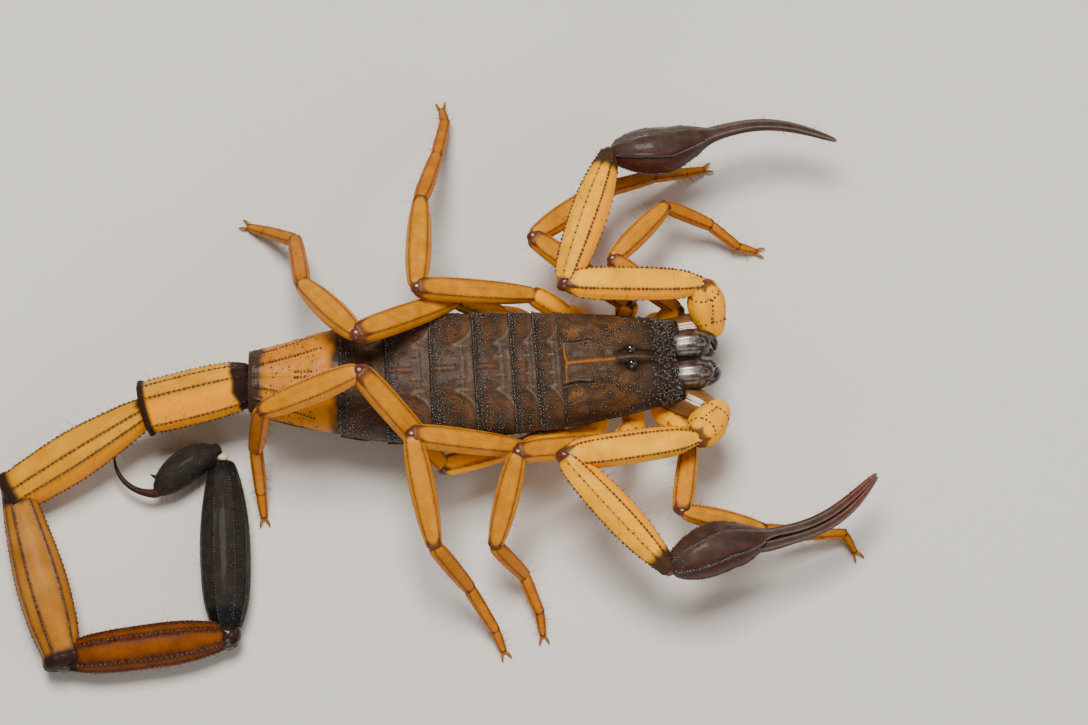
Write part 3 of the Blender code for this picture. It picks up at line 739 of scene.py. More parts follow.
def plate_skin(number, start, length):
    """Skin of one back plate, and the density of its granules."""
    last = number == LAST_RING

    def locate(u, v):
        across, rise = squircle((2 * u - 1) * PLATE_LEAN, PLATE_SQUARENESS)
        s = start + length - v * (length + PLATE_TUCK) - 0.4 * (1 - v) * (1 - ease(-0.18, 0.22, rise))
        return s, across, rise

    def skin(u, v):
        s, across, rise = locate(u, v)
        point, _, right, half, top, edge, _ = trunk_section(s)
        off, back = half * abs(across), (s - start) / length  # back: 0 at the front edge, 1 at the rear
        lap = 0.98 + 0.02 * ease(-0.06, 0.06, back) + 0.003 * ease(0.8, 1.0, back)
        line = (1 - last) * swell(back, 0.23 + 0.02 * off, 0.05 / length) * (1 - ease(1.5, 1.9, off))
        comma = swell(off, 0.56 + 1.6 * (back - 0.3) ** 2, 0.05) * window(back, 0.19, 0.42, 0.03)
        comma += swell(off, 1.36 + 1.2 * (back - 0.15) ** 2, 0.05) * window(back, 0.13, 0.42, 0.04)
        comma *= 1 - last
        oval = math.hypot((off - 2.9) / 1.42, (back - 0.58) / 0.6)
        rim = (1 - last) * swell(oval, 1.02, 0.055) * (1 - ease(0.35, 0.5, back)) * (1 - ease(2.5, 2.9, off))
        hollow = (1 - ease(0.8, 1.0, oval)) * (1 - ease(0.7, 0.9, back)) * (1 - ease(2.9, 3.4, off))
        lift = 0.03 * line + 0.045 * comma + 0.045 * rim - 0.06 * hollow - 0.03 * swell(back, 0.12, 0.1)
        lift += 0.07 * swell(off, 0, 0.08) * window(back, 0.38, 0.97, 0.06)
        lift += 0.06 * swell(back, 0.95, 0.12 / length)
        lift += 0.02 * noise.noise(Vector((s * 2.1, off * 2.1, number)))
        keels = 0.0
        if last:
            run = ease(0.2, 0.4, back)
            keels = max(swell(off, 1.91 - 1.37 * back, 0.09) * window(back, 0.2, 0.93, 0.05),
                        swell(off, 3.1 - 1.9 * back, 0.09) * window(back, 0.3, 0.93, 0.05),
                        swell(off, 0.17, 0.09) * window(back, 0.28, 0.5, 0.06))
            lift += 0.09 * keels - 0.04 * run
        out = (right * across / half + UP * max(rise, 0) / (top - edge)).normalized()
        height = edge + (top - edge) * rise * lap if rise > 0 else edge + 1.3 * rise
        place = point + right * half * across * lap + UP * height + out * lift * max(rise, 0) ** 0.3
        clouds = noise.noise(Vector((s * 1.5, off * 1.5, 11 + number)))
        if last:
            collar = 0.97 * ease(0.8, 0.88, back + 0.05 * clouds)
            dark = max(1 - ease(0.0, 0.15, back + 0.1 * clouds), collar)
            return place, 0.4 * keels, dark, max(0, 0.3 * ease(0.5, 1.2, off) + 0.7 * clouds)
        warm = 0.2 * hollow * (0.7 + clouds) + 0.6 * swell(off, 0, 0.06) * window(back, 0.42, 0.93, 0.06)
        warm += 0.4 * max(0, clouds)
        # Pale tint on the ridge behind the front band, on the comma ridges and on the hollows' rims is a
        # painted highlight; the front band is the plate's own grey.
        grey = 0.1 * swell(back, 0.1, 0.12) + 0.18 * line + 0.4 * comma + 0.3 * rim
        grey += 0.3 * swell(rise, 0.12, 0.03)
        black = 0.6 * swell(back, 0.92, 0.3 / length) * (0.6 + clouds) + 0.6 * window(rise, -0.3, 0.08, 0.03)
        return place, max(0, min(1, grey)), max(0, min(1, black)), min(1, max(0, warm))

    def crowding(u, v):
        s, across, rise = locate(u, v)
        back, off = (s - start) / length, abs(across) * trunk_section(s)[3]
        if rise < -0.2 or back < 0.24:
            return 0
        if last:
            return 0.25 * ease(0.3, 0.1, back) + 0.05
        return min(1, 0.85 * ease(0.6, 0.8, back) + 0.35 * ease(1.4, 2.6, off) + 0.12)

    return skin, crowding


amber_rear = cuticle("amber_rear", (0.38, 0.130, 0.004), (0.56, 0.22, 0.014), (0.62, 0.18, 0.002),
                     (0.10, 0.022, 0.005), (0.034, 0.021, 0.015), 0.46, cloud=1.3, grain=0.1, pits=0.5,
                     relief=0.35, coat=0.05, glow=0.15)
# Its keel tint is the pale grey of the front band, and of the painted highlights on the ridges.
plate_shell = cuticle("plate_shell", (0.024, 0.014, 0.008), (0.064, 0.033, 0.0155), (0.17, 0.048, 0.008),
                      (0.26, 0.20, 0.15), (0.005, 0.004, 0.004), 0.5, cloud=0.6, grain=0.13, pits=0.7,
                      relief=1.2, coat=0.03)
start = 0.0
for number, length in enumerate(RING_LENGTHS, 1):
    skin, crowding = plate_skin(number, start, length)
    bm = bend(skin, 150, max(26, round(length * 15)), PLATE_WALL)
    scatter(bm, skin, crowding, round(850 * length), 0.135, 0.056)
    # A few granules on each plate take the lighter finish with its painted glint.
    scatter(bm, skin, crowding, round(80 * length), 0.2, 0.045, 2)
    tuck = PLATE_TUCK / (length + PLATE_TUCK)
    if number < LAST_RING:
        for back, size in REAR_ROWS:
            v = (1 - back) * (1 - tuck)
            dotted(bm, skin, [(0.1, v), (0.9, v)], 0.2, size)
        finishes, slot_name = (plate_shell, shell_granule, painted_glint_granule), "dark_shell"
    else:
        for side in (-1, 1):
            for row in LAST_ROWS:
                ends = []
                for off, back in row:
                    part = off / trunk_section(start + back * length)[3]
                    angle = math.atan2(part ** 1.15, max(0.0, 1 - part ** PLATE_SQUARENESS) ** 0.5)
                    ends.append((0.5 + side * 0.5 * angle / PLATE_LEAN, (1 - back) * (1 - tuck)))
                dotted(bm, skin, ends, 0.2, 0.075)
        finishes, slot_name = (amber_rear, amber_granule, amber_granule), "amber_cuticle"
    settle(bm, f"back_plate_{number}", finishes, [f"mesosoma_{number}"])
    start += length

# ---------------------------------------------------------------------------------------- belly plates
# Five smooth brown plates under the trunk, the first four with the slits of the lungs, and in front of
# them the small breastbone, the lid of the genital opening and the two combs that feel the ground.
BELLY_RINGS = range(3, LAST_RING + 1)
BELLY_LEAN = math.radians(76)
BREAST_PIECES = (  # front, rear, girth, left of the middle: the breastbone, and the lid's two halves
    (4.2, 2.7, 0.75, 0.0),
    (2.5, 1.5, 0.62, 0.42),
    (2.5, 1.5, 0.62, -0.42),
)
COMB_TEETH, COMB_ROOT, COMB_TIP = 24, (-1.55, 0.35), (-4.3, 3.3)  # forward and off the middle line

belly_shell = cuticle("belly_shell", (0.16, 0.075, 0.03), (0.3, 0.155, 0.06), (0.52, 0.3, 0.1),
                      (0.05, 0.025, 0.015), (0.02, 0.01, 0.008), 0.34, cloud=1.4, grain=0.1, pits=0.2,
                      relief=0.2, coat=0.3, glow=0.1)


def belly_skin(number, start, length):
    """Skin of one belly plate."""
    def skin(u, v):
        across, rise = squircle((1 - 2 * u) * BELLY_LEAN, 2.6)
        s = start + length * (1.0 - v * 1.06)
        point, _, right, half, _, edge, belly = trunk_section(s)
        back = (s - start) / length
        lap = 0.95 + 0.05 * ease(0.0, 0.6, back)
        off = half * abs(across)
        slit = swell(off, 2.1, 0.42) * swell(back, 0.55, 0.09 / length) * (number < LAST_RING)
        place = point + right * half * across * lap + UP * (edge - (edge - belly) * rise * lap)
        return place + UP * 0.1 * slit, 0, min(1, slit * 1.5), 0.6 * swell(off, 0, 1.2)
    return skin


start = sum(RING_LENGTHS[:2])
for number in BELLY_RINGS:
    length = RING_LENGTHS[number - 1]
    bm = bend(belly_skin(number, start, length), 80, 24, PLATE_WALL)
    settle(bm, f"belly_plate_{number}", (belly_shell,))
    start += length

bm = bmesh.new()
for front, rear, width, shift in BREAST_PIECES:
    line = rail([body_place(front, shift, 2.5), body_place((front + rear) / 2, shift, 2.35),
                 body_place(rear, shift, 2.3)])
    skin = segment(line, ((0, 0.35 * width, 0.2), (0.5, 0.8 * width, 0.3), (1, 0.6 * width, 0.25)), ROUND,
                   close=0.15, warm=0.7)
    merge(bm, bend(skin, 24, 20))
settle(bm, "breastbone", (belly_shell,))

for name, side in (("left", 1), ("right", -1)):
    root, tip = (body_place(forward + 2.2, side * off, 2.15) for forward, off in (COMB_ROOT, COMB_TIP))
    bm = bend(segment(rail([root, root.lerp(tip, 0.5) + UP * 0.12, tip + UP * 0.1]),
                      ((0, 0.34, 0.12), (0.6, 0.26, 0.12), (1, 0.14, 0.1)), ROUND, close=0.06,
                      warm=0.8), 20, 40)
    hang = (tip - root).cross(UP).normalized() * side
    for k in range(COMB_TEETH):
        place = root.lerp(tip, 0.04 + 0.94 * k / (COMB_TEETH - 1)) + hang * 0.42
        copy_in(bm, BEAD, place, hang, (0.055, 0.05, 0.3 - 0.006 * k), 0)
    settle(bm, f"comb_{name}", (belly_shell,))

# ------------------------------------------------------------------------------------------------ tail
# Five keeled rings and the sting, curled on the floor at the animal's right. The first three are amber
# with dark dotted keels and grey flared collars, the fourth is rust, the fifth and the sting are black.
TAIL = (  # length, half width, half depth, heading, slope, roll of the back from straight up
    (6.05, 1.58, 1.55, -168, -8, -29),
    (9.89, 1.48, 1.48, -149.8, -11.0, -71),
    (10.65, 1.6, 1.6, -73.1, -2.1, -103),
    (9.9, 1.42, 1.42, 8.0, -1, -81),
    (10.7, 1.40, 1.56, 92.4, 0, -90),
)
TAIL_START_HEIGHT = 4.75
BRISTLE_RADIUS, BRISTLE_BOW = 0.012, 9  # the bow is in radii
TAIL_SHAPES = (  # part of the length, part of the girth
    ((0, 0.7), (0.06, 0.8), (0.16, 0.92), (0.4, 1.0), (0.85, 0.99), (0.91, 0.97), (0.95, 1.06), (0.985, 1.0),
     (1, 0.85)),
    ((0, 0.45), (0.05, 0.52), (0.2, 0.74), (0.55, 1.0), (0.85, 0.92), (0.91, 0.88), (0.95, 0.96),
     (0.985, 0.88), (1, 0.7)),
    ((0, 0.5), (0.05, 0.6), (0.2, 0.78), (0.5, 1.0), (0.75, 0.94), (0.91, 0.76), (0.95, 0.82),
     (0.985, 0.74), (1, 0.6)),
    ((0, 0.45), (0.05, 0.62), (0.2, 0.9), (0.5, 1.0), (0.7, 0.95), (0.85, 0.74), (0.93, 0.56), (0.98, 0.54),
     (1, 0.45)),
    ((0, 0.35), (0.08, 0.62), (0.22, 0.9), (0.45, 1.0), (0.65, 0.95), (0.82, 0.78), (0.94, 0.58), (1, 0.42)),
)
TAIL_KEELS = [(-0.55, 0.8, 1), (0.55, 0.8, 1), (0.93, 0.4, 1), (1.0, -0.05, 0.8), (0.8, -0.6, 1),
              (0.36, -0.92, 0.9), (-0.36, -0.92, 0.9), (-0.8, -0.6, 1), (-1.0, -0.05, 0.8), (-0.93, 0.4, 1)]
FIFTH_KEELS = [(-0.5, 0.84, 0.4), (0.5, 0.84, 0.4), (0.95, 0.35, 0.5), (0.9, -0.45, 0.5), (0.5, -0.86, 0.6),
               (0.0, -1.0, 0.6), (-0.5, -0.86, 0.6), (-0.9, -0.45, 0.5), (-0.95, 0.35, 0.5)]
STING_HEADING, STING_BEND, VESICLE_LENGTH, VESICLE_RADIUS = -144, 7, 4.9, 1.02
STING_NECK = Vector((-0.1, 1.0, 0))
VESICLE_SHAPE = ((0, 0.42), (0.08, 0.4), (0.16, 0.66), (0.33, 0.93), (0.55, 1.0), (0.78, 0.84), (0.93, 0.5),
                 (1, 0.28))
ACULEUS_LENGTH, ACULEUS_TURN, ACULEUS_STEPS = 4.3, -104, 7
ACULEUS_GIRTH = ((0, 0.32, 0.32), (0.12, 0.27, 0.27), (0.3, 0.2, 0.2), (0.65, 0.13, 0.13), (1, 0.025, 0.025))
TAIL_LINES = (0.05, 0.07, 0.13, 0.3, 0.1)  # breadth of the dark line on each ring's keels
TAIL_BEADS = (0.09, 0.088, 0.074, 0.07, 0.05)  # size of the granules on them

tail_amber = cuticle("tail_amber", (0.50, 0.205, 0.004), (0.70, 0.32, 0.012), (0.90, 0.31, 0.001),
                     (0.07, 0.014, 0.007), (0.022, 0.010, 0.007), 0.48, cloud=1.5, grain=0.11, pits=0.3,
                     relief=0.22, coat=0.02, glow=0.2, gloss=0.07)
tail_tan = cuticle("tail_tan", (0.28, 0.100, 0.006), (0.42, 0.175, 0.022), (0.48, 0.145, 0.002),
                   (0.032, 0.010, 0.010), (0.020, 0.010, 0.008), 0.48, cloud=1.5, grain=0.11, pits=0.3,
                   relief=0.25, coat=0.02, glow=0.15, gloss=0.07)
rust = cuticle("rust_cuticle", (0.13, 0.030, 0.002), (0.22, 0.058, 0.004), (0.30, 0.075, 0.002),
               (0.014, 0.006, 0.006), (0.010, 0.006, 0.005), 0.45, cloud=1.1, grain=0.1, pits=0.35,
               relief=0.3, coat=0.02, glow=0.1, gloss=0.06)
black = cuticle("black_cuticle", (0.0095, 0.0070, 0.0055), (0.026, 0.0200, 0.0160), (0.075, 0.006, 0.004),
                (0.006, 0.0055, 0.0055), (0.003, 0.003, 0.003), 0.55, cloud=0.5, grain=0.075, pits=0.8,
                relief=0.9, coat=0.03)
tail_granule = granule_finish("tail_granule", (0.028, 0.006, 0.004), 0.3, 0.6)
grey_granule = granule_finish("grey_granule", (0.016, 0.012, 0.012), 0.3, 0.6)
TAIL_FINISHES = ((tail_amber, "amber_cuticle"), (tail_amber, "amber_cuticle"), (tail_tan, "amber_cuticle"),
                 (rust, "rust_cuticle"), (black, "black_cuticle"))

bristle = cuticle("bristle", (0.10, 0.045, 0.012), (0.2, 0.1, 0.03), (0.2, 0.1, 0.03), (0.2, 0.1, 0.03),
                  (0.1, 0.05, 0.02), 0.35, cloud=0.3, coat=0.2)


def bristle_shape():
    """Corners and faces of a bristle one unit tall: a thin bowed reed on its root."""
    reed = bmesh.new()
    bmesh.ops.create_cone(reed, cap_ends=True, segments=4, radius1=1, radius2=0.3, depth=1,
                          matrix=Matrix.Translation((0, 0, 0.5)))
    upright = [edge for edge in reed.edges if abs(edge.verts[0].co.z - edge.verts[1].co.z) > 0.5]
    bmesh.ops.subdivide_edges(reed, edges=upright, cuts=3)
    for vert in reed.verts:
        vert.co.x += BRISTLE_BOW * vert.co.z ** 2
    return pattern(reed)


BRISTLE = bristle_shape()


def bristles(bm, skin, count, tall, low, high, finish=2):
    """Thin bristles over a stretch of a segment, leaning towards its far end; none reach into the floor."""
    for _ in range(count):
        u, v = chance.random(), chance.uniform(station(low), station(high))
        place, out = skin(u, v)[0], facing(skin, u, v)
        ahead = (skin(u, v + 0.01)[0] - place).normalized()
        if place.z + min(out.z, ahead.z, 0) * tall * 1.3 < 0:
            continue
        copy_in(bm, BRISTLE, place - out * 0.03, (out + ahead * chance.uniform(0.1, 0.8)).normalized(),
                (BRISTLE_RADIUS, BRISTLE_RADIUS, tall * chance.uniform(0.6, 1.3)), finish)


tail_points = [trunk_section(sum(RING_LENGTHS))[0] + UP * TAIL_START_HEIGHT]
for length, _, _, turn, rise, _ in TAIL:
    tail_points.append(tail_points[-1] + heading(turn, rise) * length)

for i, (length, width, depth, turn, rise, roll) in enumerate(TAIL):
    along = heading(turn, rise)
    fifth = i == 4
    begin, end = tail_points[i] - along * 0.25, tail_points[i + 1] + along * (0.2 if fifth else 0.75)
    girth = [(t, width * part, depth * part) for t, part in TAIL_SHAPES[i]]
    keels = FIFTH_KEELS if fifth else TAIL_KEELS if i == 0 else [k for k in TAIL_KEELS if abs(k[0]) < 1]

    def collar(t, across, rise, near):
        root = 0.13 if fifth or not i else 0.07
        return max(ease(0.895, 0.935, t), 1 - ease(root, root + 0.04, t - 0.04 * near))

    skin = segment(rail([begin, end], roll), girth, faceted(keels, 0.11), crest=0.07 if fifth else 0.1,
                   line=TAIL_LINES[i], close=0.03, ink=collar,
                   warm=0 if fifth else lambda t, across, rise: ease(0.1, 0.8, rise - 1.2 * max(0, across)))
    bm = bend(skin, len(keels) * 10, 104)
    for k, (_, _, strength) in enumerate(keels):
        u = k / len(keels)
        low, high = (0.1, 0.9) if strength == 1 or fifth else (0.16, 0.88)
        dotted(bm, skin, [(u, station(low)), (u, station(high))], 0.18 if fifth else 0.3,
               TAIL_BEADS[i] * (1 if fifth else strength))
    scatter(bm, skin, lambda u, v: 0.9 if fifth else 0.03, 1300 if fifth else 500, 0.2, 0.036)
    bristles(bm, skin, 26, 0.8, 0.15, 0.88)
    finish, slot_name = TAIL_FINISHES[i]
    settle(bm, f"tail_ring_{i + 1}", (finish, grey_granule if fifth else tail_granule, bristle),
           [f"metasoma_{i + 1}"])

bulb_start = tail_points[-1] + STING_NECK
bulb_middle = bulb_start + heading(STING_HEADING - STING_BEND) * VESICLE_LENGTH / 2
bulb_end = bulb_middle + heading(STING_HEADING + STING_BEND) * VESICLE_LENGTH / 2
skin = segment(rail([bulb_start, bulb_middle, bulb_end]),
               [(t, VESICLE_RADIUS * part, VESICLE_RADIUS * part) for t, part in VESICLE_SHAPE],
               faceted(FIFTH_KEELS, 0.14), crest=0.04, close=0.08)
bm = bend(skin, 90, 70)
scatter(bm, skin, lambda u, v: 0.6, 420, 0.2, 0.035)
bristles(bm, skin, 40, 0.9, 0.2, 0.9)
needle, turn = [bulb_end - heading(STING_HEADING) * 0.5], STING_HEADING - 24
needle.append(bulb_end)
for _ in range(ACULEUS_STEPS):
    turn += ACULEUS_TURN / ACULEUS_STEPS
    needle.append(needle[-1] + heading(turn) * ACULEUS_LENGTH / ACULEUS_STEPS)
skin = segment(rail(needle), ACULEUS_GIRTH, ROUND, close=0.02,
               warm=lambda t, across, rise: 0.5 - 0.4 * ease(0.1, 0.5, t))
merge(bm, bend(skin, 24, 60))
spur = bulb_end - heading(STING_HEADING) * 0.75 + heading(STING_HEADING - 90) * 0.5
spur_way = heading(STING_HEADING - 62)
skin = segment(rail([spur, spur + spur_way * 0.75]),
               ((0, 0.22, 0.22), (0.5, 0.12, 0.12), (1, 0.03, 0.03)), ROUND, close=0.04, warm=0.8)
merge(bm, bend(skin, 16, 16))
settle(bm, "sting", (black, grey_granule, bristle), ["telson"])

cream = cuticle("anal_skin", (0.45, 0.36, 0.2), (0.62, 0.52, 0.33), (0.6, 0.5, 0.3), (0.2, 0.15, 0.1),
                (0.1, 0.08, 0.05), 0.4, cloud=0.3, grain=0.1, pits=0.2, relief=0.3, coat=0.2, glow=0.3)
lobe = tail_points[-1] + heading(93) * 0.25 + heading(3) * 0.1 + UP * 0.5
skin = segment(rail([lobe - heading(93) * 0.2, lobe + heading(93) * 0.25]),
               ((0, 0.24, 0.2), (0.5, 0.31, 0.25), (1, 0.16, 0.13)), ROUND, close=0.3)
settle(bend(skin, 20, 16), "anal_lobe", (cream,))
ring_ways = [heading(turn, rise) for _, _, _, turn, rise, _ in TAIL]
for i, (back, ahead) in enumerate(zip(ring_ways, ring_ways[1:]), 1):
    joint = tail_points[i]
    skin = segment(rail([joint - back * 0.5, joint, joint + ahead * 0.7]),
                   ((0, 0.6, 0.6), (0.4, 0.9, 0.9), (0.7, 0.8, 0.8), (1, 0.5, 0.5)), ROUND, close=0.15,
                   ink=0.95)
    settle(bend(skin, 40, 28), f"tail_joint_skin_{i}", (membrane,))

# ------------------------------------------------------------------------------------------- pedipalps
# The two grasping limbs: a round trochanter, then femur and patella with rows of red-brown granules,
# and a dark hand whose fixed finger meets the movable one. The hand and the fingers are bowed outwards.
PALP_LENGTHS = (2.8, 8.5, 9.2)
CHELA_LENGTH, CHELA_BOW = 14.2, 1.3
PALP_BASES = {"left": (9.5, 2.1, 4.4), "right": (9.2, -3.45, 4.5)}
PALP_HEADINGS = {"left": (106, -177.6, 72.2), "right": (-122, -168, -45.5)}
PALP_SLOPES = {"left": (41, 11, -9), "right": (35, 15, -13.6)}
CHELA_POSE = {"left": (6, -8, -62), "right": (26, -7, -14)}  # heading, slope, roll of the grip
HAND_TURN = {"left": 32, "right": -31}  # lean of the hand's first keel from the top of the grip
PALP_KEELS = [(-0.8, 0.78, 1), (0.52, 0.9, 1), (1.0, 0.05, 0.7), (0.62, -0.85, 0.5), (-0.75, -0.85, 0.5),
              (-1.0, 0.0, 0.1)]
PATELLA_KEELS = [(-0.95, 0.4, 1), (-0.3, 0.95, 0.6), (0.4, 0.9, 1), (1.0, 0.1, 0.6), (0.6, -0.85, 0.5),
                 (-0.6, -0.85, 0.5)]
FEMUR_GIRTH = ((0, 0.3, 0.3), (0.06, 0.45, 0.45), (0.17, 0.8, 0.76), (0.35, 0.96, 0.88), (0.7, 0.98, 0.9),
               (0.88, 0.86, 0.8), (0.95, 0.62, 0.6), (1, 0.5, 0.5))
PATELLA_GIRTH = ((0, 0.5, 0.5), (0.1, 0.84, 0.82), (0.4, 1.08, 1.04), (0.65, 1.06, 1.02), (0.85, 0.8, 0.8),
                 (0.93, 0.64, 0.64), (1, 0.58, 0.58))
coxa_brown = cuticle("coxa_brown", (0.075, 0.032, 0.012), (0.16, 0.075, 0.03), (0.30, 0.12, 0.02),
                     (0.05, 0.02, 0.01), (0.02, 0.01, 0.008), 0.25, cloud=0.8, grain=0.1, pits=0.2,
                     relief=0.15, coat=0.5, glow=0.2)
HAND_STRENGTHS = (0.8, 1.0, 0.6, 0.5, 0.5, 0.6)
# Finish 2, on the first keel's row, is the lighter granule with its painted glint.
HAND_ROWS = (  # keel, from and to in parts of the length, granule size, finish
    (0, 0.04, 0.36, 0.068, 2), (1, 0.02, 0.42, 0.095, 1), (2, 0.04, 0.4, 0.06, 1), (3, 0.05, 0.36, 0.05, 1),
    (5, 0.03, 0.36, 0.07, 1),
)
HAND_GIRTH = ((0, 0.45, 0.45), (0.03, 0.8, 0.78), (0.1, 1.26, 1.22), (0.19, 1.5, 1.42), (0.29, 1.4, 1.3),
              (0.37, 0.98, 0.94), (0.45, 0.36, 0.46), (0.55, 0.3, 0.34), (0.8, 0.27, 0.28),
              (0.93, 0.19, 0.2), (1, 0.06, 0.09))
HAND_OFFSET = ((0, 0), (0.3, 0), (0.37, -0.08), (0.47, -0.27), (0.6, -0.28), (0.85, -0.25), (1, -0.1))
FINGER_GIRTH = ((0, 0.2, 0.32), (0.1, 0.36, 0.42), (0.3, 0.3, 0.34), (0.7, 0.27, 0.28), (0.9, 0.19, 0.2),
                (1, 0.06, 0.09))
FINGER_OFFSET = ((0.34, 0.5), (0.43, 0.42), (0.55, 0.3), (0.85, 0.26), (1, 0.1))
FINGER_START, FINGER_TEETH = 0.34, 44
TROCHANTER_CORNERS = (0, 1.05, 2.1, 3.14, 4.2, 5.24)  # angles of its blunt keels, in radians
RED_FROM = {"left": 0.93, "right": 0.62}  # part of the hand's length where its red tip begins


def mirrored(keels, side):
    """Keels of the left limb's section, or of the right one's, still clockwise."""
    return keels if side > 0 else [(-x, y, k) for x, y, k in reversed(keels)]


def bead_rows(bm, skin, keels, spacing, radius, low=0.06, high=0.94):
    """A row of granules on each keel."""
    for k, (_, _, strength) in enumerate(keels):
        if strength > 0.3:
            u = k / len(keels)
            dotted(bm, skin, [(u, station(low)), (u, station(high))], spacing / max(strength, 0.55),
                   radius * strength ** 0.5)


def chela_rail(start, forward, out, wide, thick, offset, first=0.0):
    """Rail of the hand's middle line, shifted across the grip by a table of offsets."""
    @functools.cache
    def at(t):
        u = first + (1 - first) * t
        bow = CHELA_BOW * math.sin(math.pi * max(0, (u - 0.25) / 0.75) ** 1.15)
        return start + forward * CHELA_LENGTH * u + out * bow + wide * curve(offset, u), wide, thick
    return at


def knuckle(t, across, rise, near):
    """Dark ends of a limb segment, reaching along its keels."""
    return 0.85 * max(ease(0.92, 0.97, t + 0.05 * swell(near, 0, 0.12)), 1 - ease(0.0, 0.04, t))


def wrist_cap(t, across, rise, near):
    """The dark cap at the far end of the patella."""
    return max(knuckle(t, across, rise, near), 0.96 * ease(0.83, 0.89, t + 0.02 * swell(near, 0, 0.1)))


def black_keel(turn, dusk):
    """Black line along the keel at an angle from the top of the grip, and the dusky face beyond it."""
    toward = (math.sin(turn), math.cos(turn))
    below = (math.sin(dusk), math.cos(dusk))

    def ink(t, across, rise, near):
        aim = (across * toward[0] + rise * toward[1]) / math.hypot(across, rise)
        broken = 0.7 + 0.6 * noise.noise(Vector((t * 40, aim * 9, 2)))
        aside = (across * below[0] + rise * below[1]) / math.hypot(across, rise)
        shade = 0.5 * ease(0.3, 0.8, aside) * (1 - ease(0.3, 0.5, t))
        return max(shade, broken * ease(0.98, 0.999, aim) * (1 - ease(0.3, 0.42, t)))
    return ink


def finger_red(first, red_from, turn):
    """Red finger tips, and a red-brown face of the hand beyond its black keel."""
    toward = (math.sin(turn), math.cos(turn))

    def warm(t, across, rise):
        aim = (across * toward[0] + rise * toward[1]) / math.hypot(across, rise)
        return 0.8 * ease(red_from, 1.02, first + (1 - first) * t) + 0.5 * ease(0.3, 0.8, aim) * (
            1 - ease(0.3, 0.5, t + first))
    return warm


